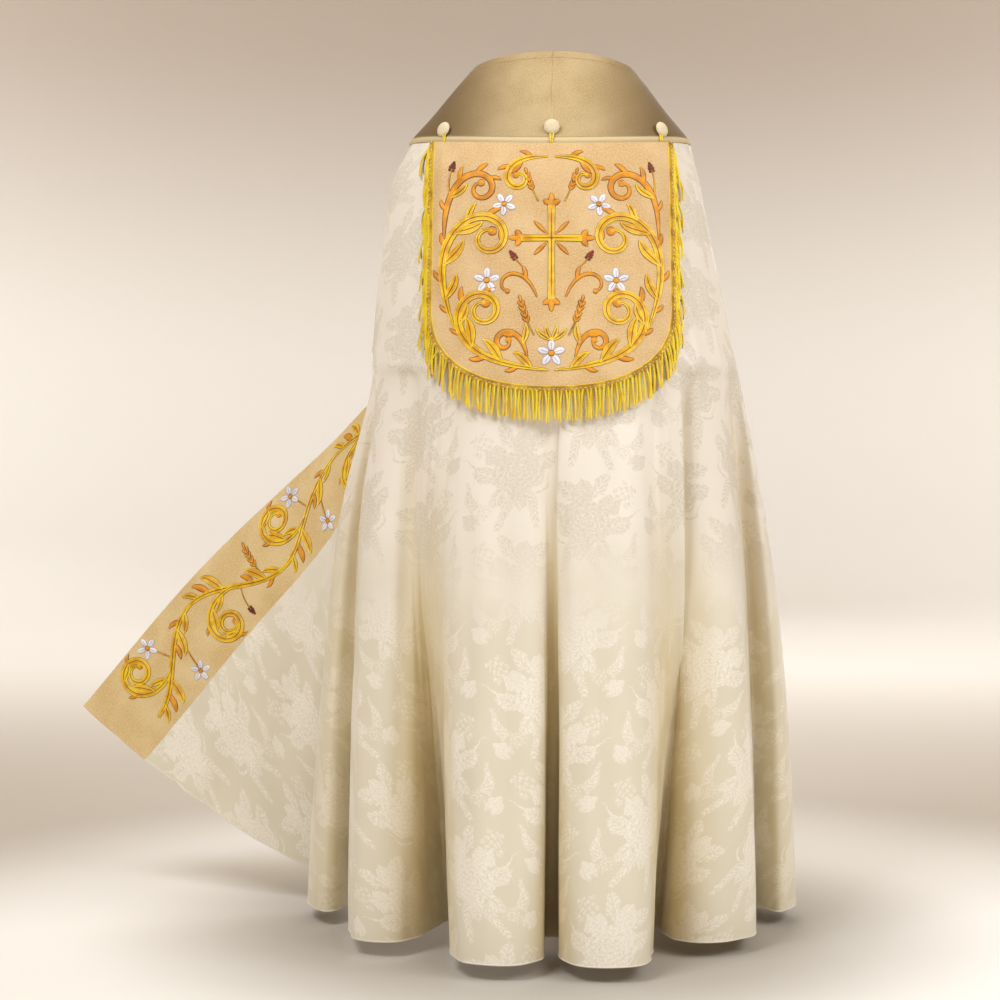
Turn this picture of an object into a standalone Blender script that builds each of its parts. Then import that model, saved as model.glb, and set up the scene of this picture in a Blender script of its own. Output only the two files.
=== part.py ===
"""Cope: a half-circle liturgical cloak of ivory damask, filled out as if worn, with nobody in it.

Frame: the wearer faces +Y, so the back of the cope faces -Y, and +X is the wearer's right.
The origin lies between the wearer's shoulders, where the cloth rests on them. Metres, +Z up.

The cloth is one smooth surface, worked out from two short tables:
  SECTIONS  level ovals from the shoulders down to the hem, without folds
  FOLDS     the folds, from the drawn-out left front round the back to the right front
Each panel is an open grid on that surface, thickened by Solidify, 0.3 mm from its neighbours.
"""

import math
from collections import namedtuple

import bmesh
import bpy
from mathutils import Vector

# Cloth
CLOTH = 0.002                   # wall of the lined cloth
SEAM_GAP = 0.0003               # between two pieces that are sewn together
SEAM_ALLOWANCE = 0.006          # flat strip on each side of a seam
SEAM_STRIP_MOST = 0.4           # but at most this share of the way to the next point
LIFT = CLOTH + SEAM_GAP         # from the middle of one layer to the middle of the next

# Levels
HEM_Z = -1.320
YOKE_EDGE_BACK = -0.076         # seam of yoke and mantle, at the centre back
YOKE_EDGE_SIDE = -0.058
YOKE_EDGE_FRONT = -0.100
YOKE_SEAM_GAP = 0.0006          # between the yoke's lower edge and the mantle's and hood's top edges
YOKE_PROUD = 0.0012             # the yoke's topstitched edge stands out this far
YOKE_HEM = 0.004                # and its last strip hangs straight

# Neck opening
NECK_HALF_WIDTH = 0.131
NECK_BACK = 0.085
NECK_FRONT = 0.100
NECK_Z_BACK = 0.084
NECK_Z_SIDE = 0.068
NECK_Z_FRONT = -0.020
NECK_FRONT_ANGLE = 152.0        # where the front edges meet the neck ring
FRONT_EDGE_ANGLE = 168.0        # where they meet the yoke's lower edge
YOKE_BULGE = -0.0005            # the yoke is all but straight from the neck to the shoulders

# Front bands and chest tab
ORPHREY_WIDTH = 0.148
MORSE_REACH = 0.055             # on each side, from the front edge over the band
MORSE_TOP = 0.012               # as a share of the way from yoke to hem
MORSE_BOTTOM = 0.048
MORSE_ROWS = 3
MORSE_REACHES = (1.0, 0.66, 0.33, 0.0)   # shares of the reach, from its end to the front edge
MORSE_CLEARANCE = 0.0008        # clear of the bands' flat facets

# Yoke grid
YOKE_COLUMNS = 24
YOKE_DOWNS = (0, 0.22, 0.48, 0.75, 1)

# Hood and its fringe
HOOD_COLUMNS = 20
HOOD_ROWS = (0, 0.035, 0.08, 0.14, 0.22, 0.33, 0.46, 0.6, 0.74, 0.87, 1)
HOOD_HALF_WIDTH = 0.1825
HOOD_SHIFT = -0.0025
HOOD_STRAIGHT_Z = -0.336        # the sides run straight down to here
HOOD_BOTTOM_Z = -0.458
HOOD_ROUNDNESS = 2.35           # power of the superellipse that closes the bottom
HOOD_LIFT_TOP = 0.0036
HOOD_LIFT_BOTTOM = 0.0090
HOOD_LIFT_EASE = 0.6            # under 1: the hood stands off soon below its top
RIM_FINE_STEPS = 60             # steps a side in the outline that the fringe is spaced along
HOOD_EDGE_GAP = 0.0005          # between the hood and the fringe heading
BRAID_WIDTH = 0.009
FRINGE_PITCH = 0.0066
FRINGE_LENGTH = 0.047
FRINGE_SIDE_SPLAY = 0.016       # how far a strand on the side swings outwards at its tip
STRAND_WIDTH = 0.0036
STRAND_SHARES = (0.5, 1.0)      # where along its length a strand has its rings
STRAND_TAPER = 0.9
STRAND_MARGIN = 0.3             # of the wall, left as the heading's face round each strand
Wave = namedtuple("Wave", "size turns")
STRAND_WANDERS = (Wave(0.0008, 2.4), Wave(0.0004, 5.1))   # sideways, from strand to strand
STRAND_LENGTH_WAVE = Wave(0.06, 1.7)                      # as a share of the length
STRAND_LOOSE_POWER = 2          # strands under the hood are free to stray, those at its sides aren't

# Buttons and loops
BUTTON_RADIUS = 0.0125
BUTTON_CAP = 0.006
BUTTON_SHANK_RADIUS = 0.004
BUTTON_SHANK = 0.0042
BUTTONS = (                     # name, X, share of the way down the yoke
    ("left", -0.171, 0.90),
    ("centre", -0.002, 0.865),
    ("right", 0.170, 0.895),
)
LOOP_RADIUS = 0.0011
LOOP_LIFT = 0.0009              # clear of the yoke's flat facets
LOOP_LEG_SPREAD = 0.0014
LOOP_END_GAP = 0.0010           # above the hood's top edge
LOOP_TURN = range(-30, 211, 24)  # degrees round the shank
BUTTON_STEPS = 16

# Steps for slopes taken from the surface
DEGREE_STEP = 0.5
LEVEL_STEP = 0.004
YOKE_STEP = 0.01
SHARP_ANGLE = 50

Section = namedtuple("Section", "z half_width shift back front")
SECTIONS = (
    Section(-0.050, 0.228, -0.004, 0.166, 0.145),
    Section(-0.113, 0.250, -0.011, 0.188, 0.162),
    Section(-0.180, 0.263, -0.011, 0.198, 0.172),
    Section(-0.280, 0.280, -0.007, 0.213, 0.184),
    Section(-0.443, 0.306, 0.003, 0.238, 0.198),
    Section(-0.640, 0.348, -0.002, 0.272, 0.214),
    Section(-0.790, 0.371, -0.001, 0.300, 0.228),
    Section(-1.004, 0.391, 0.001, 0.335, 0.255),
    Section(-1.320, 0.409, 0.000, 0.385, 0.300),
)

# One fold in two lines. angles: where its left edge, right edge and the valley after it start on the
# shoulder oval, in degrees from the centre back. left, right, valley: the same at the hem (X, Y).
# bulge: how far the crest rounds out past the line from left to right. half: half the valley's floor.
# starts: the level where the fold begins. crest_ease, valley_ease: under 1 opens it early, over 1 late.
Fold = namedtuple("Fold", "name starts crest_ease valley_ease angles left right bulge valley half")
FOLDS = (
    Fold("A", -0.40, 0.45, 0.45, (-105, -94, -87),
         (-0.409, 0.125), (-0.372, 0.005), 0.015, (-0.336, 0.048), 0.003),
    Fold("B", -0.43, 0.42, 1.00, (-78, -50, -39),
         (-0.319, -0.160), (-0.215, -0.185), 0.033, (-0.165, -0.060), 0.004),
    Fold("C", -0.24, 0.80, 1.60, (-32, -1.5, 0.1),
         (-0.153, -0.290), (-0.019, -0.325), 0.045, (0.000, -0.180), 0.014),
    Fold("D", -0.45, 0.80, 1.20, (1.6, 29, 38),
         (0.012, -0.315), (0.149, -0.290), 0.065, (0.159, -0.102), 0.004),
    Fold("E", -0.43, 0.42, 0.45, (46, 63, 76),
         (0.190, -0.195), (0.3206, -0.122), 0.042, (0.335, 0.060), 0.003),
    Fold("F", -0.43, 0.80, 0.80, (84, 97, 106),
         (0.372, 0.003), (0.405, 0.115), 0.014, (0.335, 0.155), 0.004),
    Fold("G", -0.35, 0.90, 0.90, (112, 119, 125),
         (0.365, 0.215), (0.300, 0.295), 0.012, (0.225, 0.205), 0.004),
)
# The left front springs from behind fold A.
ROOT_ANGLE = -114
ROOT_HEM = (-0.350, 0.160)
# The right front band hangs flat from the yoke to the hem.
BAND_ANGLE = 131
BAND_HEM_INNER = (0.180, 0.285)
BAND_HEM_FRONT = (0.035, 0.300)
BAND_EASE = 0.9
BAND_BOW = 0.006                # its middle stands this far forward of the line between its edges

# The edge of the drawn-out left front, from the chest tab to the corner at the hem.
# way: share of the cut length from the yoke down.
EdgePoint = namedtuple("EdgePoint", "name way x y z")
LEFT_EDGE = (
    EdgePoint("chest tab", 0.060, -0.053, 0.170, -0.172),
    EdgePoint("swings out", 0.211, -0.170, 0.240, -0.300),
    EdgePoint("leaves the side", 0.418, -0.338, 0.250, -0.492),
    EdgePoint("half way out", 0.736, -0.619, 0.250, -0.766),
    EdgePoint("corner", 1.000, -0.8325, 0.270, -1.013),
)
FLAP_HEM_BOW = 0.021            # the hem of the drawn-out front is an arc, not a straight line
FLAP_BOW_DIRECTION = Vector((-0.53, 0.0, -0.85))
FLAP_ROUND_UNTIL = 0.3          # share of the cut length over which the shoulder's roundness fades out
BAND_MOST = 0.78                # the band takes at most this share of the drawn-out front's width
CREST_SHARES = (0.22, 0.78)     # where the two crest points lie between a fold's edges
VALLEY_FLOOR_HALF_ANGLE = 0.9   # degrees, on the shoulder oval

# Rows, as shares of the way from the yoke to the hem
ROW_SHARES = (0, 0.03, 0.07, 0.12, 0.18, 0.25, 0.33, 0.42, 0.51, 0.60, 0.69, 0.78, 0.86, 0.93, 1)
COLUMN_STEP = 0.040             # about this far apart at the hem
FLAP_SHARES = (0.45,)           # an extra station across the drawn-out front
FLAP_STEPS = 3                  # columns in each of its spans


# ------------------------------------------------------------------ small tools

def mix(a, b, share):
    """The value or point that lies at this share of the way from a to b."""
    return a + (b - a) * share


def smooth_step(value):
    value = min(max(value, 0.0), 1.0)
    return value * value * (3 - 2 * value)


def hermite(before, start, end, after, share):
    """Catmull-Rom value between start and end, with evenly spaced knots."""
    slope_start = (end - before) / 2
    slope_end = (after - start) / 2
    s2, s3 = share * share, share * share * share
    return (start * (2 * s3 - 3 * s2 + 1) + slope_start * (s3 - 2 * s2 + share)
            + end * (3 * s2 - 2 * s3) + slope_end * (s3 - s2))


def centripetal(before, start, end, after, share):
    """Catmull-Rom point between start and end, with knots by the root of the distance: no loops."""
    knots = [0.0]
    for a, b in ((before, start), (start, end), (end, after)):
        knots.append(knots[-1] + max((b - a).length, 1e-6) ** 0.5)
    t0, t1, t2, t3 = knots
    t = mix(t1, t2, share)
    a1 = mix(before, start, (t - t0) / (t1 - t0))
    a2 = mix(start, end, (t - t1) / (t2 - t1))
    a3 = mix(end, after, (t - t2) / (t3 - t2))
    b1 = mix(a1, a2, (t - t0) / (t2 - t0))
    b2 = mix(a2, a3, (t - t1) / (t3 - t1))
    return mix(b1, b2, (t - t1) / (t2 - t1))


def spline(points, counts):
    """A smooth line through the points, with a given number of steps in each span."""
    ends = [points[0] * 2 - points[1]] + list(points) + [points[-1] * 2 - points[-2]]
    line = []
    for index, count in enumerate(counts):
        for step in range(count):
            line.append(centripetal(*ends[index:index + 4], step / count))
    line.append(points[-1])
    return line


# ------------------------------------------------------------------ the garment's surface

def section_at(z):
    """Half width, shift, back and front depth of the oval at level z."""
    z = min(max(z, SECTIONS[-1].z), SECTIONS[0].z)
    index = 0
    while index < len(SECTIONS) - 2 and z < SECTIONS[index + 1].z:
        index += 1
    share = (z - SECTIONS[index].z) / (SECTIONS[index + 1].z - SECTIONS[index].z)
    rows = [SECTIONS[min(max(index + step, 0), len(SECTIONS) - 1)] for step in (-1, 0, 1, 2)]
    return [hermite(*(getattr(row, name) for row in rows), share)
            for name in ("half_width", "shift", "back", "front")]


def oval_point(degrees, z):
    """A point of the level oval at an angle from the centre back, positive towards +X."""
    half_width, shift, back, front = section_at(z)
    angle = math.radians(degrees)
    depth = back if math.cos(angle) > 0 else front
    return Vector((shift + half_width * math.sin(angle), -depth * math.cos(angle), z))


def round_level(degrees, at_back, at_side, at_front):
    """A level that runs from the back over the side to the front."""
    cosine = math.cos(math.radians(degrees))
    return mix(at_side, at_back if cosine > 0 else at_front, cosine * cosine)


def yoke_edge_z(degrees):
    return round_level(degrees, YOKE_EDGE_BACK, YOKE_EDGE_SIDE, YOKE_EDGE_FRONT)


def folded_point(degrees, hem, starts, ease, way):
    """Where a turn of the cloth lies at this share of the way down from the yoke."""
    z = mix(yoke_edge_z(degrees) - YOKE_SEAM_GAP, HEM_Z, way)
    plain = oval_point(degrees, z)
    half_width, shift, back, front = section_at(z)
    across = half_width / SECTIONS[-1].half_width
    deep = back / SECTIONS[-1].back if hem[1] < 0 else front / SECTIONS[-1].front
    folded = Vector((shift + hem[0] * across, hem[1] * deep, z))
    opened = min(max((starts - z) / (starts - HEM_Z), 0.0), 1.0) ** ease
    return mix(plain, folded, opened)


def fold_turns(fold):
    """The six turns of one fold as (angle, hem point, ease): left, two of the crest, right, valley floor."""
    left, right = Vector(fold.left), Vector(fold.right)
    along = (right - left).normalized()
    outward = Vector((along.y, -along.x))
    left_angle, right_angle, valley_angle = fold.angles
    turns = [(left_angle, left, fold.crest_ease)]
    for share in CREST_SHARES:
        turns.append((mix(left_angle, right_angle, share), mix(left, right, share) + outward * fold.bulge,
                      fold.crest_ease))
    turns.append((right_angle, right, fold.crest_ease))
    for side in (-1, 1):
        floor = Vector(fold.valley) + along * fold.half * side
        turns.append((valley_angle + side * VALLEY_FLOOR_HALF_ANGLE, floor, fold.valley_ease))
    return turns


def left_edge_point(way):
    """The free edge of the drawn-out left front."""
    start = oval_point(-FRONT_EDGE_ANGLE, yoke_edge_z(FRONT_EDGE_ANGLE) - YOKE_SEAM_GAP)
    points = [start] + [Vector((row.x, row.y, row.z)) for row in LEFT_EDGE]
    ways = [0.0] + [row.way for row in LEFT_EDGE]
    index = 0
    while index < len(ways) - 2 and way > ways[index + 1]:
        index += 1
    ends = [points[0] * 2 - points[1]] + points + [points[-1] * 2 - points[-2]]
    share = (way - ways[index]) / (ways[index + 1] - ways[index])
    return centripetal(*ends[index:index + 4], share)


def root_point(way):
    """The line behind fold A from which the left front springs."""
    return folded_point(ROOT_ANGLE, ROOT_HEM, YOKE_EDGE_SIDE, 1.0, way)


def flap_point(across, way):
    """A point of the drawn-out left front: across is 0 at its root and 1 at its free edge."""
    root, edge = root_point(way), left_edge_point(way)
    bow = 4 * across * (1 - across)
    top_root, top_edge = root_point(0.0), left_edge_point(0.0)
    top_angle = mix(ROOT_ANGLE, -FRONT_EDGE_ANGLE, across)
    top = oval_point(top_angle, yoke_edge_z(top_angle) - YOKE_SEAM_GAP)
    top_round = top - mix(top_root, top_edge, across)
    roundness = top_round * (1 - smooth_step(way / FLAP_ROUND_UNTIL))
    return mix(root, edge, across) + roundness + FLAP_BOW_DIRECTION * FLAP_HEM_BOW * bow * way


def band_across(way):
    """How far across the drawn-out front its band begins, so that the band keeps its width."""
    width = (left_edge_point(way) - root_point(way)).length
    return 1 - min(ORPHREY_WIDTH / width, BAND_MOST)


def stations(way):
    """The named stations of one row, from the left front edge round the back to the right front edge."""
    inner = band_across(way)
    row = [flap_point(1.0, way), flap_point(mix(inner, 1.0, 0.5), way), flap_point(inner, way)]
    for share in FLAP_SHARES:
        row.append(flap_point(inner * share, way))
    row.append(root_point(way))
    for fold in FOLDS:
        for degrees, hem, ease in fold_turns(fold):
            row.append(folded_point(degrees, hem, fold.starts, ease, way))
    middle = (Vector(BAND_HEM_INNER) + Vector(BAND_HEM_FRONT)) / 2 + Vector((0.0, BAND_BOW))
    middle_angle = mix(BAND_ANGLE, FRONT_EDGE_ANGLE, 0.5)
    turns = ((BAND_ANGLE, BAND_HEM_INNER), (middle_angle, middle), (FRONT_EDGE_ANGLE, BAND_HEM_FRONT))
    for degrees, hem in turns:
        row.append(folded_point(degrees, hem, FOLDS[-1].starts, BAND_EASE, way))
    return row


LEFT_BAND_STATION = 2
FIRST_FOLD_STATION = LEFT_BAND_STATION + len(FLAP_SHARES) + 2
TURNS_PER_FOLD = 6
CENTRE_FOLD = 2                 # the valley after this fold holds the centre-back seam
CENTRE_STATION = FIRST_FOLD_STATION + CENTRE_FOLD * TURNS_PER_FOLD + TURNS_PER_FOLD - 2
RIGHT_BAND_STATION = FIRST_FOLD_STATION + len(FOLDS) * TURNS_PER_FOLD


def column_counts():
    """Steps in each span between stations, from the span's length at the hem."""
    row = stations(1.0)
    counts = [max(1, round((b - a).length / COLUMN_STEP)) for a, b in zip(row, row[1:])]
    for span in range(LEFT_BAND_STATION, FIRST_FOLD_STATION - 1):
        counts[span] = FLAP_STEPS
    # The centre-back seam runs down the middle of its valley, so that span has two steps.
    counts[CENTRE_STATION] = 2
    return counts


def cloth_rows():
    counts = column_counts()
    return counts, [spline(stations(way), counts) for way in ROW_SHARES]


def seam_strip(row, seam, neighbour):
    """The direction of the row at a seam, and the width of the flat strip beside it."""
    along = (row[seam + 1] - row[seam - 1]).normalized()
    return along, min(SEAM_ALLOWANCE, SEAM_STRIP_MOST * (row[neighbour] - row[seam]).length)


def panel(rows, first, last, seams):
    """Cut columns first..last out of the rows, with a flat strip and half a gap at each seam."""
    grid = []
    for row in rows:
        line = list(row[first:last + 1])
        if "first" in seams:
            along, flat = seam_strip(row, first, first + 1)
            line[0] = row[first] + along * SEAM_GAP / 2
            line.insert(1, row[first] + along * flat)
        if "last" in seams:
            along, flat = seam_strip(row, last, last - 1)
            line[-1] = row[last] - along * SEAM_GAP / 2
            line.insert(-1, row[last] - along * flat)
        grid.append(line)
    return grid


def back_surface(x, z, lift):
    """A point on the smooth back at the given X and level, moved straight out by lift."""
    half_width, shift, back, _ = section_at(z)
    sine = min(max((x - shift) / half_width, -1.0), 1.0)
    degrees = math.degrees(math.asin(sine))
    level = outward_at(degrees, z)
    level.z = 0
    return oval_point(degrees, z) + level.normalized() * lift


def outward_at(degrees, z):
    """The direction straight out of the smooth oval surface."""
    around = oval_point(degrees + DEGREE_STEP, z) - oval_point(degrees - DEGREE_STEP, z)
    down = oval_point(degrees, z - LEVEL_STEP) - oval_point(degrees, z + LEVEL_STEP)
    return down.cross(around).normalized()


# ------------------------------------------------------------------ yoke

def neck_point(degrees):
    angle = math.radians(degrees)
    depth = NECK_BACK if math.cos(angle) > 0 else NECK_FRONT
    z = round_level(degrees, NECK_Z_BACK, NECK_Z_SIDE, NECK_Z_FRONT)
    return Vector((NECK_HALF_WIDTH * math.sin(angle), -depth * math.cos(angle), z))


def yoke_point(share, down):
    """share: 0 at the centre back, -1 and 1 at the front edges. down: 0 at the neck, 1 at the hem strip."""
    neck = neck_point(share * NECK_FRONT_ANGLE)
    degrees = share * FRONT_EDGE_ANGLE
    edge = yoke_strip_point(degrees, YOKE_HEM)
    around = oval_point(degrees + DEGREE_STEP, edge.z) - oval_point(degrees - DEGREE_STEP, edge.z)
    outward = (edge - neck).cross(around).normalized()
    return mix(neck, edge, down) + outward * YOKE_BULGE * 4 * down * (1 - down)


def yoke_strip_point(degrees, height):
    """A point of the straight strip at the yoke's lower edge, this far above the edge."""
    z = yoke_edge_z(degrees)
    bottom = oval_point(degrees, z) + outward_at(degrees, z) * YOKE_PROUD
    return bottom + Vector((0, 0, height))


def yoke_grid(side):
    """Rows of one half of the yoke, from the centre-back seam to the front edge."""
    shares = [step / YOKE_COLUMNS for step in range(YOKE_COLUMNS + 1)]
    rows = [[yoke_point(side * share, down) for share in shares] for down in YOKE_DOWNS]
    rows.append([yoke_strip_point(side * share * FRONT_EDGE_ANGLE, 0) for share in shares])
    for line in rows:
        line[0].x = side * SEAM_GAP / 2
    return rows


def yoke_share_at(x, down):
    """Where on a row of the yoke's back X has this value."""
    low, high = -0.5, 0.5
    for _ in range(30):
        middle = (low + high) / 2
        if yoke_point(middle, down).x < x:
            low = middle
        else:
            high = middle
    return middle


# ------------------------------------------------------------------ hood and fringe

def hood_top_z(x):
    """Just below the yoke's lower edge."""
    half_width, shift, _, _ = section_at(YOKE_EDGE_SIDE)
    degrees = math.degrees(math.asin((x - shift) / (half_width + LIFT)))
    return yoke_edge_z(degrees) - YOKE_SEAM_GAP


def hood_lift(z):
    share = min(max((z - YOKE_EDGE_SIDE) / (HOOD_BOTTOM_Z - YOKE_EDGE_SIDE), 0.0), 1.0)
    return mix(HOOD_LIFT_TOP, HOOD_LIFT_BOTTOM, share ** HOOD_LIFT_EASE)


def hood_point(x, z):
    return back_surface(HOOD_SHIFT + x, z, hood_lift(z))


def hood_bottom(share):
    """The bottom outline: share runs from -1 to 1. Returns X from the hood's middle, and Z."""
    angle = share * math.pi / 2
    power = 2 / HOOD_ROUNDNESS
    x = math.copysign(abs(math.sin(angle)) ** power, share) * HOOD_HALF_WIDTH
    drop = (HOOD_STRAIGHT_Z - HOOD_BOTTOM_Z) * abs(math.cos(angle)) ** power
    return x, HOOD_STRAIGHT_Z - drop


def hood_grid():
    rows = []
    for share in HOOD_ROWS:
        line = []
        for column in range(HOOD_COLUMNS + 1):
            x, bottom = hood_bottom(2 * column / HOOD_COLUMNS - 1)
            top = hood_top_z(HOOD_SHIFT + x)
            line.append(hood_point(x, mix(top, bottom, share)))
        rows.append(line)
    return rows


def hood_rim():
    """Evenly spaced points down the hood's left side, round the bottom and up its right side, as (X, Z)."""
    top = hood_top_z(HOOD_HALF_WIDTH)
    shares = [step / RIM_FINE_STEPS for step in range(RIM_FINE_STEPS + 1)]
    line = [Vector((-HOOD_HALF_WIDTH, mix(top, HOOD_STRAIGHT_Z, share))) for share in shares[:-1]]
    line += [Vector(hood_bottom(2 * share - 1)) for share in shares]
    line += [Vector((HOOD_HALF_WIDTH, mix(HOOD_STRAIGHT_Z, top, share))) for share in shares[1:]]
    lengths = [0.0]
    for a, b in zip(line, line[1:]):
        lengths.append(lengths[-1] + (b - a).length)
    count = round(lengths[-1] / FRINGE_PITCH)
    points, index = [], 0
    for step in range(count + 1):
        target = lengths[-1] * step / count
        while index < len(line) - 2 and lengths[index + 1] < target:
            index += 1
        span = max(lengths[index + 1] - lengths[index], 1e-9)
        points.append(mix(line[index], line[index + 1], (target - lengths[index]) / span))
    return points


def rim_outward(points, index):
    """The direction straight out of the hood's outline, in X and Z."""
    before, after = points[max(index - 1, 0)], points[min(index + 1, len(points) - 1)]
    along = (after - before).normalized()
    return Vector((along.y, -along.x))


def wall_pair(x, z):
    """The outer and inner point of a wall on the hood's surface."""
    degrees = math.degrees(math.asin(min(max(x / section_at(z)[0], -1), 1)))
    middle = hood_point(x, z)
    outward = outward_at(degrees, z)
    return middle + outward * CLOTH / 2, middle - outward * CLOTH / 2


def make_fringe(material, parts):
    """A braided heading along the hood's rim, with a strand growing out of each of its lower faces."""
    rim = hood_rim()
    mesh = bmesh.new()
    rings = []
    for index, point in enumerate(rim):
        outward = rim_outward(rim, index)
        near = point + outward * HOOD_EDGE_GAP
        far = point + outward * BRAID_WIDTH
        corners = wall_pair(*near) + tuple(reversed(wall_pair(*far)))
        rings.append([mesh.verts.new(corner) for corner in corners])
    edge_faces = []
    for index, (a, b) in enumerate(zip(rings, rings[1:])):
        for corner in range(4):
            following = (corner + 1) % 4
            face = mesh.faces.new((a[corner], a[following], b[following], b[corner]))
            if corner == 2:
                edge_faces.append((index, face))
    mesh.faces.new(reversed(rings[0]))
    mesh.faces.new(rings[-1])
    for index, face in edge_faces:
        grow_strand(mesh, face, rim, index)
    bmesh.ops.recalc_face_normals(mesh, faces=mesh.faces)
    return finish_mesh("fringe", mesh, material, parts)


def grow_strand(mesh, face, rim, index):
    """Inset the face, then extrude it twice: it hangs down over the mantle, and splays out at the sides."""
    sideways, upwards = rim_outward(rim, index)
    loose = max(0.0, -upwards) ** STRAND_LOOSE_POWER
    margin = (FRINGE_PITCH - STRAND_WIDTH) / 2
    bmesh.ops.inset_individual(mesh, faces=[face], thickness=min(margin, CLOTH * STRAND_MARGIN))
    root = mix(rim[index], rim[index + 1], 0.5) + rim_outward(rim, index) * BRAID_WIDTH
    wander = loose * sum(wave.size * math.sin(index * wave.turns) for wave in STRAND_WANDERS)
    length = FRINGE_LENGTH * (1 + loose * STRAND_LENGTH_WAVE.size * math.sin(index * STRAND_LENGTH_WAVE.turns))
    drop = Vector((sideways * FRINGE_SIDE_SPLAY + wander, -length))
    for share in STRAND_SHARES:
        place = root + drop * share
        face = bmesh.ops.extrude_discrete_faces(mesh, faces=[face])["faces"][0]
        target = hood_point(place.x, place.y)
        bmesh.ops.translate(mesh, verts=face.verts, vec=target - face.calc_center_median())
        centre = face.calc_center_median()
        for vert in face.verts:
            vert.co = mix(centre, vert.co, STRAND_TAPER)


# ------------------------------------------------------------------ objects

def clear_scene():
    for obj in list(bpy.data.objects):
        bpy.data.objects.remove(obj, do_unlink=True)


def new_material(name, colour, roughness):
    material = bpy.data.materials.new(name)
    material.use_nodes = True
    shader = material.node_tree.nodes["Principled BSDF"]
    shader.inputs["Base Color"].default_value = (*colour, 1)
    shader.inputs["Roughness"].default_value = roughness
    material.diffuse_color = (*colour, 1)
    return material


def finish_mesh(name, mesh, material, parts):
    data = bpy.data.meshes.new(name)
    mesh.to_mesh(data)
    mesh.free()
    data.materials.append(material)
    obj = bpy.data.objects.new(name, data)
    parts.objects.link(obj)
    data.shade_smooth()
    data.set_sharp_from_angle(angle=math.radians(SHARP_ANGLE))
    return obj


def make_cloth(name, grid, material, parts):
    """An open grid of points, thickened to the wall of the cloth."""
    mesh = bmesh.new()
    verts = [[mesh.verts.new(point) for point in line] for line in grid]
    for upper, lower in zip(verts, verts[1:]):
        for column in range(len(upper) - 1):
            mesh.faces.new((upper[column], lower[column], lower[column + 1], upper[column + 1]))
    obj = finish_mesh(name, mesh, material, parts)
    solidify = obj.modifiers.new("Cloth", "SOLIDIFY")
    solidify.thickness = CLOTH
    solidify.offset = 0
    return obj


def make_mantle(parts, damask, gold):
    counts, rows = cloth_rows()
    column_of = [sum(counts[:station]) for station in range(len(counts) + 1)]
    left_band = column_of[LEFT_BAND_STATION]
    centre = column_of[CENTRE_STATION] + 1
    right_band = column_of[RIGHT_BAND_STATION]
    last = column_of[-1]
    make_cloth("orphrey_left", panel(rows, 0, left_band, ("last",)), gold, parts)
    make_cloth("mantle_left", panel(rows, left_band, centre, ("first", "last")), damask, parts)
    make_cloth("mantle_right", panel(rows, centre, right_band, ("first", "last")), damask, parts)
    make_cloth("orphrey_right", panel(rows, right_band, last, ("first",)), gold, parts)


def yoke_frame(share, down):
    """A point on the yoke's outer face, with the directions across, up and straight out."""
    point = yoke_point(share, down)
    across = (yoke_point(share + YOKE_STEP, down) - yoke_point(share - YOKE_STEP, down)).normalized()
    slope = yoke_point(share, down - YOKE_STEP) - yoke_point(share, down + YOKE_STEP)
    outward = across.cross(slope).normalized()
    up = outward.cross(across)
    return point + outward * CLOTH / 2, across, up, outward


def make_button(name, share, down, material, parts):
    """A domed, cloth-covered button on a shank: a turned profile."""
    top = BUTTON_SHANK + BUTTON_CAP
    rim = BUTTON_SHANK + BUTTON_CAP * 0.25
    profile = [(0, top), (BUTTON_RADIUS * 0.5, top - BUTTON_CAP * 0.12),
               (BUTTON_RADIUS * 0.82, top - BUTTON_CAP * 0.38), (BUTTON_RADIUS, rim),
               (BUTTON_RADIUS * 0.94, BUTTON_SHANK), (BUTTON_SHANK_RADIUS, BUTTON_SHANK),
               (BUTTON_SHANK_RADIUS, 0), (0, 0)]
    mesh = bmesh.new()
    verts = [mesh.verts.new((radius, 0, height)) for radius, height in profile]
    for a, b in zip(verts, verts[1:]):
        mesh.edges.new((a, b))
    obj = finish_mesh(name, mesh, material, parts)
    screw = obj.modifiers.new("Turned", "SCREW")
    screw.steps = screw.render_steps = BUTTON_STEPS
    screw.use_merge_vertices = True
    screw.merge_threshold = 0.00005
    point, _, _, outward = yoke_frame(share, down)
    obj.location = point + outward * SEAM_GAP
    obj.rotation_mode = "QUATERNION"
    obj.rotation_quaternion = outward.to_track_quat("Z", "Y")
    return obj


def loop_path(share, down):
    """From the hood's top edge up, round the button's shank, and down again."""
    lift = LOOP_RADIUS + LOOP_LIFT
    point, across, up, outward = yoke_frame(share, down)
    centre = point + outward * lift
    around = BUTTON_SHANK_RADIUS + LOOP_RADIUS + SEAM_GAP
    turn = [centre + across * around * math.cos(angle) + up * around * math.sin(angle)
            for angle in (math.radians(degrees) for degrees in LOOP_TURN)]
    edge, edge_across, _, _ = yoke_frame(yoke_share_at(point.x, 1.0), 1.0)
    degrees = yoke_share_at(point.x, 1.0) * FRONT_EDGE_ANGLE
    edge += outward_at(degrees, yoke_edge_z(degrees)) * (lift + CLOTH / 4)
    low = edge.copy()
    low.z = hood_top_z(edge.x) + LOOP_END_GAP
    legs = []
    for side in (-1, 1):
        offset = edge_across * LOOP_LEG_SPREAD * side
        legs.append([low + offset, mix(low, edge, 0.5) + offset, edge + offset])
    return legs[1] + turn + list(reversed(legs[0]))


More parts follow.
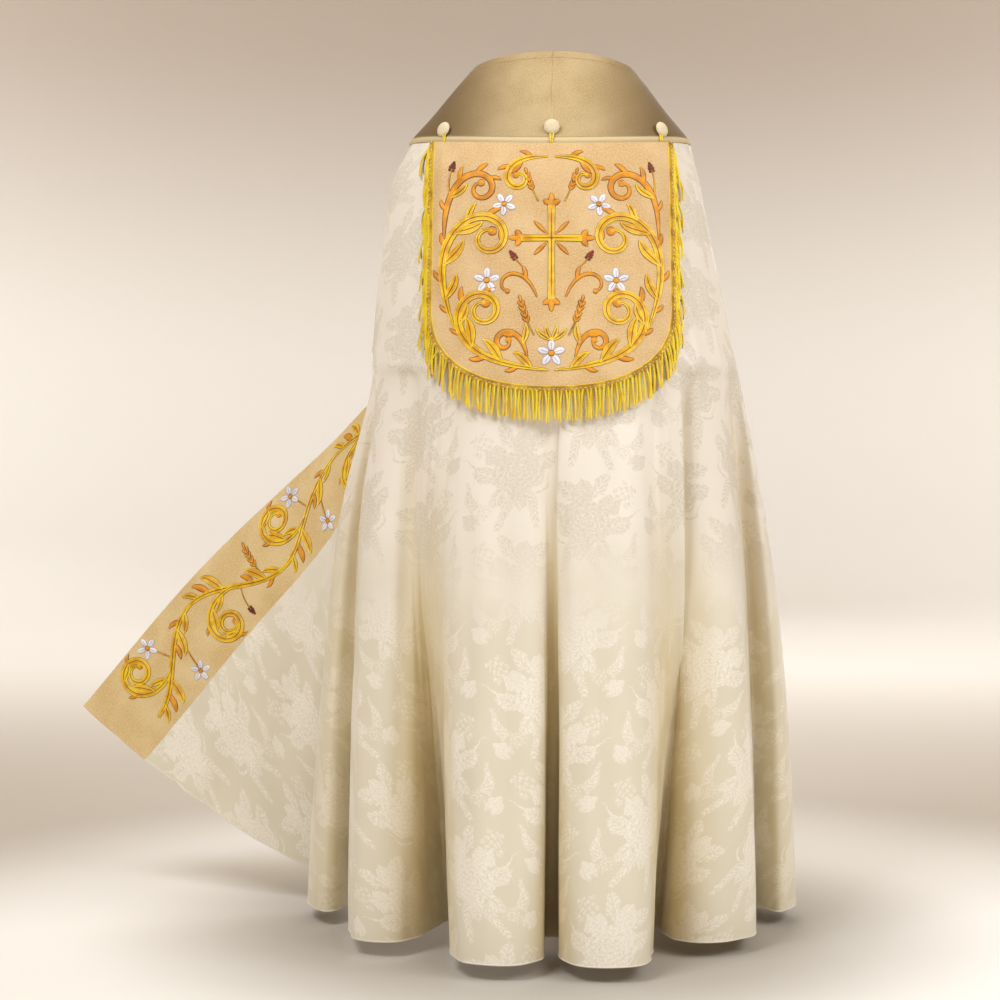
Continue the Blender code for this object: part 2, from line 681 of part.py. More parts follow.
def make_loop(name, share, down, material, parts):
    path = loop_path(share, down)
    curve = bpy.data.curves.new(name, "CURVE")
    curve.dimensions = "3D"
    curve.bevel_depth = LOOP_RADIUS
    curve.bevel_resolution = 2
    curve.use_fill_caps = True
    curve.materials.append(material)
    line = curve.splines.new("POLY")
    line.points.add(len(path) - 1)
    for target, point in zip(line.points, path):
        target.co = (*point, 1)
    obj = bpy.data.objects.new(name, curve)
    parts.objects.link(obj)
    return obj


def walk_in(row, distance, from_left):
    """A point of a row at a distance in from the left or the right front edge."""
    line = row if from_left else list(reversed(row))
    for a, b in zip(line, line[1:]):
        step = (b - a).length
        if distance <= step:
            return mix(a, b, distance / step)
        distance -= step
    return line[-1]


def morse_grid():
    """The chest tab: the front bands' own points moved out, and a bridge over the opening between them."""
    counts = column_counts()
    rows = []
    for step in range(MORSE_ROWS + 1):
        way = mix(MORSE_TOP, MORSE_BOTTOM, step / MORSE_ROWS)
        row = spline(stations(way), counts)
        line = [walk_in(row, MORSE_REACH * reach, True) for reach in MORSE_REACHES]
        line += [walk_in(row, MORSE_REACH * reach, False) for reach in reversed(MORSE_REACHES)]
        rows.append(line)
    lifted = []
    for row, points in enumerate(rows):
        line = []
        for column, point in enumerate(points):
            across = points[min(column + 1, len(points) - 1)] - points[max(column - 1, 0)]
            down = rows[min(row + 1, MORSE_ROWS)][column] - rows[max(row - 1, 0)][column]
            line.append(point + down.cross(across).normalized() * (LIFT + MORSE_CLEARANCE))
        lifted.append(line)
    return lifted


def make_yoke(parts, gold):
    for name, side in (("yoke_left", -1), ("yoke_right", 1)):
        grid = yoke_grid(side)
        if side < 0:
            grid = [list(reversed(line)) for line in grid]
        make_cloth(name, grid, gold, parts)


def main():
    clear_scene()
    parts = bpy.data.collections.new("Cope")
    bpy.context.scene.collection.children.link(parts)
    damask = new_material("Ivory damask", (0.85, 0.80, 0.70), roughness=0.55)
    gold = new_material("Pale gold cloth", (0.76, 0.58, 0.33), roughness=0.65)
    lemon = new_material("Lemon gold thread", (0.80, 0.56, 0.03), roughness=0.45)
    make_mantle(parts, damask, gold)
    make_yoke(parts, gold)
    make_cloth("hood", hood_grid(), gold, parts)
    make_fringe(lemon, parts)
    for name, x, down in BUTTONS:
        share = yoke_share_at(x, down)
        make_button("button_" + name, share, down, gold, parts)
        make_loop("loop_" + name, share, down, lemon, parts)
    make_cloth("morse", morse_grid(), gold, parts)


main()
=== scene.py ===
# %% [markdown]
# # A cope, seen from behind
#
# A cope is a half circle of cloth worn as a cloak. This one is ivory damask with a plain gold
# yoke over the shoulders, a shield-shaped hood that hangs from three buttons, and embroidered
# bands down both front edges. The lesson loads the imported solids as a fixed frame, then dresses
# them: every cloth is a thin shell on the form of its solid, with finer folds and creases.

# %% Load the frame
import math
from collections import namedtuple
from itertools import accumulate

import bpy
import numpy as np
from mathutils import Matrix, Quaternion, Vector


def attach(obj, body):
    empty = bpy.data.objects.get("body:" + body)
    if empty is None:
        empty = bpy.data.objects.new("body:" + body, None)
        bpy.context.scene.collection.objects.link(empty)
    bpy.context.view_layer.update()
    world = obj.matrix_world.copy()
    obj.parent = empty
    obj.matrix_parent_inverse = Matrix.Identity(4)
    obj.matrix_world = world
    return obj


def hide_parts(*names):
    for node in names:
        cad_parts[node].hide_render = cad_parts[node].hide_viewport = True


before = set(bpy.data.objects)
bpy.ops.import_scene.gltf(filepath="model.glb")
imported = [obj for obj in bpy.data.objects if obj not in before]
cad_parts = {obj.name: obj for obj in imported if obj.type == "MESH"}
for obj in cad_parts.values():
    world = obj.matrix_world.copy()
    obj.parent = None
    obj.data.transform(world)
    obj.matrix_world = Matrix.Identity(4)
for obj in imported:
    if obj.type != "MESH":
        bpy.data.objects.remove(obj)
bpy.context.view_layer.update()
print("nodes:", ", ".join(sorted(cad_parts)))

# %% [markdown]
# ## The camera
#
# The cope is looked at from behind, so the camera stands on the -Y side, 3.55 m away and level
# with the wearer's waist. It could be tilted down, but a level camera with a small shift keeps
# the folds upright, as a view camera in a studio does.

# %% Camera
CAMERA_DISTANCE = 3.55
CAMERA_HEIGHT = -0.54
camera_data = bpy.data.cameras.new("Studio camera")
camera_data.lens = 77.5
camera_data.sensor_width = 36
camera_data.shift_x = -0.053
camera_data.shift_y = -0.061
camera_data.clip_end = 60
camera = bpy.data.objects.new("Studio camera", camera_data)
camera.location = (0, -CAMERA_DISTANCE, CAMERA_HEIGHT)
camera.rotation_euler = (math.pi / 2, 0, 0)
bpy.context.scene.collection.objects.link(camera)
bpy.context.scene.camera = camera

# %% [markdown]
# ## The garment's surface
#
# The cloth hangs from the shoulders in level ovals that widen towards the hem, and folds open
# out of them on the way down. It could be simulated, but a simulation would not give these
# folds in these places. So the surface is worked out from the same two short tables as the
# solids: the ovals, and one entry for each fold.

# %% Tables of the surface
CLOTH = 0.002
SEAM_GAP = 0.0003
LIFT = CLOTH + SEAM_GAP
HEM_Z = -1.320
YOKE_EDGE_BACK, YOKE_EDGE_SIDE, YOKE_EDGE_FRONT = -0.076, -0.058, -0.100
YOKE_SEAM_GAP = 0.0006
FRONT_EDGE_ANGLE = 168.0
ORPHREY_WIDTH = 0.148

Section = namedtuple("Section", "z half_width shift back front")
SECTIONS = (
    Section(-0.050, 0.228, -0.004, 0.166, 0.145),
    Section(-0.113, 0.250, -0.011, 0.188, 0.162),
    Section(-0.180, 0.263, -0.011, 0.198, 0.172),
    Section(-0.280, 0.280, -0.007, 0.213, 0.184),
    Section(-0.443, 0.306, 0.003, 0.238, 0.198),
    Section(-0.640, 0.348, -0.002, 0.272, 0.214),
    Section(-0.790, 0.371, -0.001, 0.300, 0.228),
    Section(-1.004, 0.391, 0.001, 0.335, 0.255),
    Section(-1.320, 0.409, 0.000, 0.385, 0.300),
)

Fold = namedtuple("Fold", "name starts crest_ease valley_ease angles left right bulge valley half")
FOLDS = (
    Fold("A", -0.40, 0.45, 0.45, (-105, -94, -87),
         (-0.409, 0.125), (-0.372, 0.005), 0.015, (-0.336, 0.048), 0.003),
    Fold("B", -0.43, 0.42, 1.00, (-78, -50, -39),
         (-0.319, -0.160), (-0.215, -0.185), 0.033, (-0.165, -0.060), 0.004),
    Fold("C", -0.24, 0.80, 1.90, (-32, -1.9, 0.7),
         (-0.153, -0.290), (-0.019, -0.325), 0.045, (0.000, -0.180), 0.014),
    Fold("D", -0.45, 0.80, 1.20, (1.6, 29, 38),
         (0.012, -0.315), (0.149, -0.290), 0.065, (0.159, -0.102), 0.004),
    Fold("E", -0.43, 0.42, 0.45, (46, 63, 76),
         (0.190, -0.195), (0.3206, -0.122), 0.042, (0.335, 0.060), 0.003),
    Fold("F", -0.43, 0.80, 0.80, (84, 97, 106),
         (0.372, 0.003), (0.405, 0.115), 0.014, (0.335, 0.155), 0.004),
    Fold("G", -0.35, 0.90, 0.90, (112, 119, 125),
         (0.365, 0.215), (0.300, 0.295), 0.012, (0.225, 0.205), 0.004),
)
CREST_SHARES = (0.22, 0.78)
VALLEY_FLOOR_HALF_ANGLE = 0.9
ROOT_ANGLE, ROOT_HEM = -114, (-0.350, 0.160)
BAND_ANGLE, BAND_HEM_INNER, BAND_HEM_FRONT = 131, (0.180, 0.285), (0.035, 0.300)
BAND_EASE, BAND_BOW = 0.9, 0.006

EdgePoint = namedtuple("EdgePoint", "name way x y z")
LEFT_EDGE = (
    EdgePoint("chest tab", 0.060, -0.053, 0.170, -0.172),
    EdgePoint("swings out", 0.211, -0.170, 0.240, -0.300),
    EdgePoint("leaves the side", 0.418, -0.338, 0.250, -0.492),
    EdgePoint("half way out", 0.736, -0.619, 0.250, -0.766),
    EdgePoint("corner", 1.000, -0.8325, 0.270, -1.013),
)
FLAP_HEM_BOW = 0.021
FLAP_BOW_DIRECTION = Vector((-0.53, 0.0, -0.85))
FLAP_ROUND_UNTIL = 0.3
BAND_MOST = 0.78
FLAP_SHARES = (0.45,)

# %% [markdown]
# ### Smooth lines through the tables
#
# A few points down or across the garment have to become a smooth line. A Catmull-Rom curve
# passes through every point that it is given, so the tables can be read as real positions.

# %% Smooth curves
def mix(a, b, share):
    return a + (b - a) * share


def clamp(value):
    return min(max(value, 0.0), 1.0)


def smooth_step(value):
    value = clamp(value)
    return value * value * (3 - 2 * value)


def hermite(before, start, end, after, share):
    slope_start, slope_end = (end - before) / 2, (after - start) / 2
    s2, s3 = share * share, share * share * share
    return (start * (2 * s3 - 3 * s2 + 1) + slope_start * (s3 - 2 * s2 + share)
            + end * (3 * s2 - 2 * s3) + slope_end * (s3 - s2))


def centripetal(before, start, end, after, share):
    t0 = 0.0
    t1 = t0 + max((start - before).length, 1e-6) ** 0.5
    t2 = t1 + max((end - start).length, 1e-6) ** 0.5
    t3 = t2 + max((after - end).length, 1e-6) ** 0.5
    t = mix(t1, t2, share)
    a1 = mix(before, start, (t - t0) / (t1 - t0))
    a2 = mix(start, end, (t - t1) / (t2 - t1))
    a3 = mix(end, after, (t - t2) / (t3 - t2))
    b1 = mix(a1, a2, (t - t0) / (t2 - t0))
    b2 = mix(a2, a3, (t - t1) / (t3 - t1))
    return mix(b1, b2, (t - t1) / (t2 - t1))


def with_ends(points):
    """The points, and one more before and after them, straight on."""
    return [points[0] * 2 - points[1]] + list(points) + [points[-1] * 2 - points[-2]]


def spline(points, counts):
    ends = with_ends(points)
    return [centripetal(*ends[index:index + 4], step / count)
            for index, count in enumerate(counts) for step in range(count)] + [points[-1]]


def distances(line):
    """How far along a line each of its points lies."""
    return list(accumulate(((b - a).length for a, b in zip(line, line[1:])), initial=0.0))


def tangent(line, index):
    return (line[min(index + 1, len(line) - 1)] - line[max(index - 1, 0)]).normalized()


# %% Ovals and folds
def section_at(z):
    z = min(max(z, SECTIONS[-1].z), SECTIONS[0].z)
    index = 0
    while index < len(SECTIONS) - 2 and z < SECTIONS[index + 1].z:
        index += 1
    share = (z - SECTIONS[index].z) / (SECTIONS[index + 1].z - SECTIONS[index].z)
    rows = [SECTIONS[min(max(index + step, 0), len(SECTIONS) - 1)] for step in (-1, 0, 1, 2)]
    return [hermite(*(row[column] for row in rows), share) for column in (1, 2, 3, 4)]


def oval_point(degrees, z):
    half_width, shift, back, front = section_at(z)
    angle = math.radians(degrees)
    depth = back if math.cos(angle) > 0 else front
    return Vector((shift + half_width * math.sin(angle), -depth * math.cos(angle), z))


def round_level(degrees, at_back, at_side, at_front):
    cosine = math.cos(math.radians(degrees))
    return mix(at_side, at_back if cosine > 0 else at_front, cosine * cosine)


def yoke_edge_z(degrees):
    return round_level(degrees, YOKE_EDGE_BACK, YOKE_EDGE_SIDE, YOKE_EDGE_FRONT)


def folded_point(degrees, hem, starts, ease, way):
    z = mix(yoke_edge_z(degrees) - YOKE_SEAM_GAP, HEM_Z, way)
    plain = oval_point(degrees, z)
    half_width, shift, back, front = section_at(z)
    across = half_width / SECTIONS[-1].half_width
    deep = back / SECTIONS[-1].back if hem[1] < 0 else front / SECTIONS[-1].front
    folded = Vector((shift + hem[0] * across, hem[1] * deep, z))
    opened = clamp((starts - z) / (starts - HEM_Z)) ** ease
    return mix(plain, folded, opened)


def fold_turns(fold):
    left, right = Vector(fold.left), Vector(fold.right)
    along = (right - left).normalized()
    outward = Vector((along.y, -along.x))
    left_angle, right_angle, valley_angle = fold.angles
    turns = [(left_angle, left, fold.crest_ease)]
    for share in CREST_SHARES:
        turns.append((mix(left_angle, right_angle, share),
                      mix(left, right, share) + outward * fold.bulge, fold.crest_ease))
    turns.append((right_angle, right, fold.crest_ease))
    for side in (-1, 1):
        floor = Vector(fold.valley) + along * fold.half * side
        turns.append((valley_angle + side * VALLEY_FLOOR_HALF_ANGLE, floor, fold.valley_ease))
    return turns


# %% The drawn-out left front
def left_edge_point(way):
    start = oval_point(-FRONT_EDGE_ANGLE, yoke_edge_z(FRONT_EDGE_ANGLE) - YOKE_SEAM_GAP)
    points = [start] + [Vector((row.x, row.y, row.z)) for row in LEFT_EDGE]
    ways = [0.0] + [row.way for row in LEFT_EDGE]
    index = 0
    while index < len(ways) - 2 and way > ways[index + 1]:
        index += 1
    share = (way - ways[index]) / (ways[index + 1] - ways[index])
    return centripetal(*with_ends(points)[index:index + 4], share)


def root_point(way):
    return folded_point(ROOT_ANGLE, ROOT_HEM, YOKE_EDGE_SIDE, 1.0, way)


def flap_point(across, way):
    bow = 4 * across * (1 - across)
    top_angle = mix(ROOT_ANGLE, -FRONT_EDGE_ANGLE, across)
    top = oval_point(top_angle, yoke_edge_z(top_angle) - YOKE_SEAM_GAP)
    top_round = top - mix(root_point(0.0), left_edge_point(0.0), across)
    roundness = top_round * (1 - smooth_step(way / FLAP_ROUND_UNTIL))
    flat = mix(root_point(way), left_edge_point(way), across)
    return flat + roundness + FLAP_BOW_DIRECTION * FLAP_HEM_BOW * bow * way


def band_across(way):
    width = (left_edge_point(way) - root_point(way)).length
    return 1 - min(ORPHREY_WIDTH / width, BAND_MOST)


# %% [markdown]
# ### One row of the cloth
#
# A row runs from the left front edge round the back to the right front edge. It passes
# through named stations: the band's edges, the six turns of each fold, and the seams. The
# stations stay the same from row to row, so the columns follow the folds like real threads.

# %% Stations of a row
def stations(way):
    inner = band_across(way)
    row = [flap_point(1.0, way), flap_point(mix(inner, 1.0, 0.5), way), flap_point(inner, way)]
    row += [flap_point(inner * share, way) for share in FLAP_SHARES]
    row.append(root_point(way))
    for fold in FOLDS:
        row += [folded_point(degrees, hem, fold.starts, ease, way)
                for degrees, hem, ease in fold_turns(fold)]
    middle = (Vector(BAND_HEM_INNER) + Vector(BAND_HEM_FRONT)) / 2 + Vector((0.0, BAND_BOW))
    middle_angle = mix(BAND_ANGLE, FRONT_EDGE_ANGLE, 0.5)
    turns = ((BAND_ANGLE, BAND_HEM_INNER), (middle_angle, middle), (FRONT_EDGE_ANGLE, BAND_HEM_FRONT))
    row += [folded_point(degrees, hem, FOLDS[-1].starts, BAND_EASE, way) for degrees, hem in turns]
    return row


LEFT_BAND_STATION = 2
FIRST_FOLD_STATION = LEFT_BAND_STATION + len(FLAP_SHARES) + 2
TURNS_PER_FOLD = 6
CENTRE_STATION = FIRST_FOLD_STATION + 3 * TURNS_PER_FOLD - 2
RIGHT_BAND_STATION = FIRST_FOLD_STATION + len(FOLDS) * TURNS_PER_FOLD

# The solids' own columns: the finer cloth divides each of their steps evenly.
CAD_COLUMN_STEP = 0.040
CAD_FLAP_STEPS = 3
CAD_CENTRE_STEPS = 2
FINER_COLUMNS = 4
ROW_STEP = 0.0085

hem_row = stations(1.0)
counts = [max(1, round((b - a).length / CAD_COLUMN_STEP)) for a, b in zip(hem_row, hem_row[1:])]
for span in range(LEFT_BAND_STATION, FIRST_FOLD_STATION - 1):
    counts[span] = CAD_FLAP_STEPS
counts[CENTRE_STATION] = CAD_CENTRE_STEPS
counts = [count * FINER_COLUMNS for count in counts]
COLUMN_OF = [sum(counts[:station]) for station in range(len(counts) + 1)]
row_count = round((YOKE_EDGE_BACK - HEM_Z) / ROW_STEP)
WAYS = [step / row_count for step in range(row_count + 1)]
cloth = np.array([[tuple(point) for point in spline(stations(way), counts)] for way in WAYS])
print("cloth grid:", cloth.shape[0], "rows of", cloth.shape[1], "points")

# %% [markdown]
# ## Creases
#
# Folds made from a table are too even. Real cloth has shallow dents and ridges that start and
# stop anywhere. Each row below is one of them, drawn as a line on the cope as it is seen from
# behind, in metres: a ridge has a positive depth and a dent a negative one.

# %% Creases table
Crease = namedtuple("Crease", "name x0 z0 x1 z1 half_width depth")
CREASES = (
    Crease("shoulder to fold A", -0.255, -0.300, -0.318, -0.900, 0.020, 0.0040),
    Crease("arm side dent", -0.288, -0.440, -0.345, -1.020, 0.012, -0.0045),
    Crease("fold B left ridge", -0.262, -0.700, -0.292, -1.240, 0.015, 0.0050),
    Crease("fold B middle dent", -0.236, -0.520, -0.262, -1.300, 0.013, -0.0055),
    Crease("fold B right ridge", -0.196, -0.560, -0.226, -1.330, 0.016, 0.0040),
    Crease("below the hood, left", -0.150, -0.540, -0.134, -1.060, 0.018, -0.0030),
    Crease("fold C left ridge", -0.118, -0.620, -0.126, -1.330, 0.017, 0.0055),
    Crease("fold C dent", -0.078, -0.580, -0.083, -1.340, 0.014, -0.0042),
    Crease("fold C right ridge", -0.034, -0.520, -0.043, -1.340, 0.013, 0.0040),
    Crease("fold D left ridge", 0.030, -0.560, 0.030, -1.340, 0.013, 0.0038),
    Crease("fold D dent", 0.070, -0.700, 0.074, -1.350, 0.016, -0.0045),
    Crease("fold D right ridge", 0.120, -0.520, 0.118, -1.330, 0.018, 0.0040),
    Crease("right of the fringe", 0.222, -0.360, 0.250, -0.820, 0.022, 0.0040),
    Crease("fold E dent", 0.243, -0.560, 0.262, -1.300, 0.015, -0.0055),
    Crease("fold E right ridge", 0.286, -0.640, 0.303, -1.280, 0.013, 0.0042),
    Crease("side dent", 0.292, -0.330, 0.322, -0.700, 0.013, -0.0040),
    Crease("shoulder blade, right", 0.196, -0.130, 0.262, -0.420, 0.022, -0.0028),
    Crease("shoulder blade, left", -0.202, -0.130, -0.262, -0.420, 0.022, -0.0028),
    Crease("drawn front, soft crease", -0.552, -0.930, -0.636, -1.150, 0.012, -0.0060),
    Crease("drawn front, its ridge", -0.520, -0.900, -0.600, -1.160, 0.018, 0.0045),
    Crease("drawn front, pull from the arm", -0.352, -0.620, -0.560, -0.960, 0.026, 0.0050),
    Crease("drawn front, lower wave", -0.405, -0.760, -0.470, -1.230, 0.024, -0.0055),
    Crease("drawn front, upper pull", -0.330, -0.520, -0.450, -0.680, 0.020, -0.0040),
)
# A little unevenness everywhere: size in metres, then waves a metre along the hem and down.
Ripple = namedtuple("Ripple", "size across down phase")
RIPPLES = (
    Ripple(0.0012, 5.3, 0.9, 0.4), Ripple(0.0010, 9.1, -1.1, 2.1),
    Ripple(0.0007, 14.3, 1.6, 4.4), Ripple(0.0005, 21.7, -1.9, 1.3),
)

# %% [markdown]
# ### Press the creases in
#
# Each point moves along the outward normal of the cloth, so a crease keeps its depth whichever
# way the fold faces. The distance to a crease is measured in the view from behind. Near the
# yoke and at the seams the creases fade out, because the sewing holds the cloth there.

# %% Outward directions and creases
def outward_normals(points):
    down = np.gradient(points, axis=0)
    along = np.gradient(points, axis=1)
    normals = np.cross(down, along)
    return normals / np.maximum(np.linalg.norm(normals, axis=2, keepdims=True), 1e-9)


def seen_from_behind(points):
    scale = CAMERA_DISTANCE / (CAMERA_DISTANCE + points[..., 1])
    across = points[..., 0] * scale
    up = CAMERA_HEIGHT + (points[..., 2] - CAMERA_HEIGHT) * scale
    return across, up


def crease_depth(points, creases):
    across, up = seen_from_behind(points)
    depth = np.zeros(across.shape)
    for crease in creases:
        run_x, run_z = crease.x1 - crease.x0, crease.z1 - crease.z0
        length = math.hypot(run_x, run_z)
        along = ((across - crease.x0) * run_x + (up - crease.z0) * run_z) / length ** 2
        aside = ((across - crease.x0) * run_z - (up - crease.z0) * run_x) / length
        fade = np.sin(np.clip(along, 0, 1) * math.pi) ** 0.7
        depth += crease.depth * fade * np.exp(-(aside / crease.half_width) ** 2)
    return depth


def run_lengths(points, axis):
    steps = np.linalg.norm(np.diff(points, axis=axis), axis=2)
    lengths = np.cumsum(steps, axis=axis)
    return np.concatenate([np.zeros_like(np.take(lengths, [0], axis=axis)), lengths], axis=axis)


normals = outward_normals(cloth)
facing_back = np.clip((0.25 - normals[..., 1]) * 3, 0, 1)
depth = crease_depth(cloth, CREASES) * facing_back
round_the_row = run_lengths(cloth, 1)
down_the_column = run_lengths(cloth, 0)
opened = round_the_row[:, -1:] / round_the_row[-1, -1]
for ripple in RIPPLES:
    turns = ripple.across * round_the_row[-1:] + ripple.down * down_the_column
    depth += ripple.size * opened * np.sin(2 * math.pi * turns + ripple.phase)

held_at_yoke = np.clip(down_the_column / 0.07, 0, 1) ** 2
centre = COLUMN_OF[CENTRE_STATION] + FINER_COLUMNS
left_band, right_band = COLUMN_OF[LEFT_BAND_STATION], COLUMN_OF[RIGHT_BAND_STATION]
held_at_seams = np.ones(cloth.shape[:2])
SEAM_DIP, SEAM_DIP_WIDTH = 0.0006, 0.005
dip = np.zeros(cloth.shape[:2])
for seam in (left_band, centre, right_band):
    away = np.abs(round_the_row - round_the_row[:, seam:seam + 1])
    held_at_seams *= np.clip(away / 0.03, 0.25, 1)
    dip += SEAM_DIP * np.exp(-(away / SEAM_DIP_WIDTH) ** 2)
depth = depth * held_at_yoke * held_at_seams - dip * np.clip(down_the_column / 0.01, 0, 1)
creased = cloth + normals * depth[..., None]
print("deepest crease: %.1f mm" % (1000 * np.abs(depth).max()))

# %% [markdown]
# ### The flat cut
#
# The mantle is cut as two quarter circles, joined down the centre back. A weave pattern lies
# straight on the flat cloth, so each point needs its place on the cut: its distance from the
# neck, and how far round the circle it is. That place becomes the UV map, in metres.

# %% Places on the flat cut
YOKE_DEPTH = 0.170
whole_round = round_the_row - round_the_row[:, centre:centre + 1]
half_round = (np.abs(whole_round[:, 0]) + np.abs(whole_round[:, -1])) / 2
radius = YOKE_DEPTH + down_the_column.mean(axis=1)
quarter_turns = half_round / radius / (math.pi / 2)
print("radius %.2f m at the hem; half hem %.2f m, %.2f of a quarter circle"
      % (radius[-1], half_round[-1], quarter_turns[-1]))
turn = whole_round / radius[:, None]
flat_cut = np.stack([radius[:, None] * np.sin(turn), -radius[:, None] * np.cos(turn)], axis=2)

# %% [markdown]
# ## Materials
#
# Every finish here is a textile, so none is metallic: even the gold threads are rayon. One
# function adds a node with its settings and links. Colours are given as sRGB hex values,
# because that is how a dyer's card is read, and one function turns them to linear.

# %% Node and colour helpers
def linear(hex_colour):
    channels = [int(hex_colour[index:index + 2], 16) / 255 for index in (1, 3, 5)]
    return [c / 12.92 if c <= 0.04045 else ((c + 0.055) / 1.055) ** 2.4 for c in channels] + [1.0]


def feed(tree, made, inputs):
    """Sets a node's inputs. A node given as a value is linked by its first output."""
    for socket, value in inputs.items():
        if isinstance(value, bpy.types.Node):
            value = value.outputs[0]
        if isinstance(value, bpy.types.NodeSocket):
            tree.links.new(value, made.inputs[socket])
        else:
            made.inputs[socket].default_value = value


def node(tree, kind, *values, **settings):
    """Adds a node: "Math SINE" is a Math node set to sine. Values fill its inputs in order, or by name."""
    kind, _, operation = kind.partition(" ")
    made = tree.nodes.new("ShaderNode" + kind)
    if operation:
        made.operation = operation
    for name, value in settings.items():
        setattr(made, name, value)
    for place, value in enumerate(values):
        feed(tree, made, value if isinstance(value, dict) else {place: value})
    return made


def new_material(name):
    material = bpy.data.materials.new(name)
    material.use_nodes = True
    tree = material.node_tree
    return material, tree, tree.nodes["Principled BSDF"]


def mixed(tree, factor, first, second):
    return node(tree, "Mix", {0: factor, 6: first, 7: second}, data_type="RGBA").outputs[2]


# %% [markdown]
# ### Rayon damask
#
# Damask shows its flowers by turning the weave over: warp satin for the ground and weft satin
# for the figure, in one ivory yarn. So the figure differs in gloss more than in colour, and
# looks darker than the ground in one light and paler in another. It could be an image, but
# drawn with nodes it stays sharp. The figure is a bouquet of common garden motifs, charted
# below as a short list on one repeat: a cabbage rose, leaves, berries, sprays and tendrils.

# %% The repeat and its motifs
REPEAT_WIDTH, REPEAT_HEIGHT = 0.150, 0.172
Motif = namedtuple("Motif", "kind x y size turn squeeze")
REPEAT = (
    Motif("rose", 0.058, 0.088, 0.033, 10, 1.12),
    Motif("rose", 0.050, 0.133, 0.017, 60, 1.0),
    Motif("rose", 0.094, 0.118, 0.015, 200, 1.0),
    Motif("rose", 0.134, 0.018, 0.013, 0, 1.0),
    Motif("leaf", 0.108, 0.088, 0.023, -72, 0.95),
    Motif("leaf", 0.018, 0.104, 0.024, 62, 0.95),
    Motif("leaf", 0.078, 0.147, 0.021, -30, 0.95),
    Motif("leaf", 0.024, 0.138, 0.019, 38, 0.9),
    Motif("leaf", 0.058, 0.046, 0.018, 182, 0.95),
    Motif("leaf", 0.090, 0.052, 0.018, -140, 0.9),
    Motif("spray", 0.080, 0.026, 0.026, 196, 0.85),
    Motif("spray", 0.036, 0.032, 0.028, 160, 0.85),
    Motif("spray", 0.134, 0.058, 0.020, -20, 0.8),
    Motif("berries", 0.118, 0.138, 0.019, 20, 0.8),
    Motif("berries", 0.110, 0.030, 0.013, 60, 0.8),
    Motif("tendril", 0.018, 0.066, 0.020, 40, 1.0),
    Motif("tendril", 0.130, 0.098, 0.020, -25, 1.0),
)


# %% A rose, a leaf, a spray, berries and a tendril
# Each takes a point in the motif's own square, -1 to 1, and gives a number above 0 inside it.
def rose(tree, point):
    x, y, _ = node(tree, "SeparateXYZ", point).outputs
    angle = node(tree, "Math ARCTAN2", y, x)
    away = node(tree, "VectorMath LENGTH", point).outputs["Value"]
    lobes = node(tree, "Math SINE", node(tree, "Math MULTIPLY", angle, 2.5))
    lobes = node(tree, "Math ABSOLUTE", lobes)
    rim = node(tree, "Math MULTIPLY_ADD", lobes, 0.14, 0.84)
    inside = node(tree, "Math SUBTRACT", rim, away)
    layers = node(tree, "Math MULTIPLY", away, 8.6)
    layers = node(tree, "Math MULTIPLY_ADD", lobes, -1.25, layers)
    layers = node(tree, "Math MULTIPLY_ADD", angle, 0.159, layers)
    gap = node(tree, "Math SUBTRACT", node(tree, "Math PINGPONG", layers, 1.0), 0.10)
    return node(tree, "Math MINIMUM", inside, gap)


def leaf(tree, point):
    x, y, _ = node(tree, "SeparateXYZ", point).outputs
    aside = node(tree, "Math ABSOLUTE", x)
    teeth = node(tree, "Math SINE", node(tree, "Math MULTIPLY", y, 13.0))
    body = node(tree, "Math MULTIPLY_ADD", node(tree, "Math MULTIPLY", y, y), -0.50, 0.50)
    body = node(tree, "Math MULTIPLY_ADD", teeth, 0.04, body)
    inside = node(tree, "Math SUBTRACT", body, aside)
    vein = node(tree, "Math MULTIPLY_ADD", aside, -1.1, y)
    vein = node(tree, "Math MINIMUM", node(tree, "Math PINGPONG", vein, 0.19), aside)
    return node(tree, "Math MINIMUM", inside, node(tree, "Math SUBTRACT", vein, 0.032))


def spray(tree, point):
    x, y, _ = node(tree, "SeparateXYZ", point).outputs
    bent = node(tree, "Math MULTIPLY_ADD", node(tree, "Math MULTIPLY", y, y), 0.22, x)
    aside = node(tree, "Math ABSOLUTE", bent)
    spread = node(tree, "Math MULTIPLY_ADD", y, -0.20, 0.34)
    inside = node(tree, "Math SUBTRACT", spread, aside)
    climb = node(tree, "Math MULTIPLY_ADD", aside, -1.25, y)
    leaflet = node(tree, "Math SUBTRACT", node(tree, "Math PINGPONG", climb, 0.14), 0.052)
    stem = node(tree, "Math SUBTRACT", 0.030, aside)
    figure = node(tree, "Math MAXIMUM", node(tree, "Math MINIMUM", leaflet, inside), stem)
    length = node(tree, "Math SUBTRACT", 1.0, node(tree, "Math ABSOLUTE", y))
    return node(tree, "Math MINIMUM", figure, length)


def berries(tree, point):
    cells = node(tree, "TexVoronoi", {"Vector": point, "Scale": 2.6, "Randomness": 0.35}, voronoi_dimensions="2D")
    ball = node(tree, "Math SUBTRACT", 0.40, cells.outputs["Distance"])
    ring = node(tree, "Math ABSOLUTE", node(tree, "Math SUBTRACT", ball, 0.14))
    ring = node(tree, "Math SUBTRACT", ring, 0.030)
    away = node(tree, "VectorMath LENGTH", cells.outputs["Position"]).outputs["Value"]
    inside = node(tree, "Math SUBTRACT", 0.84, away)
    return node(tree, "Math MINIMUM", node(tree, "Math MINIMUM", ball, ring), inside)


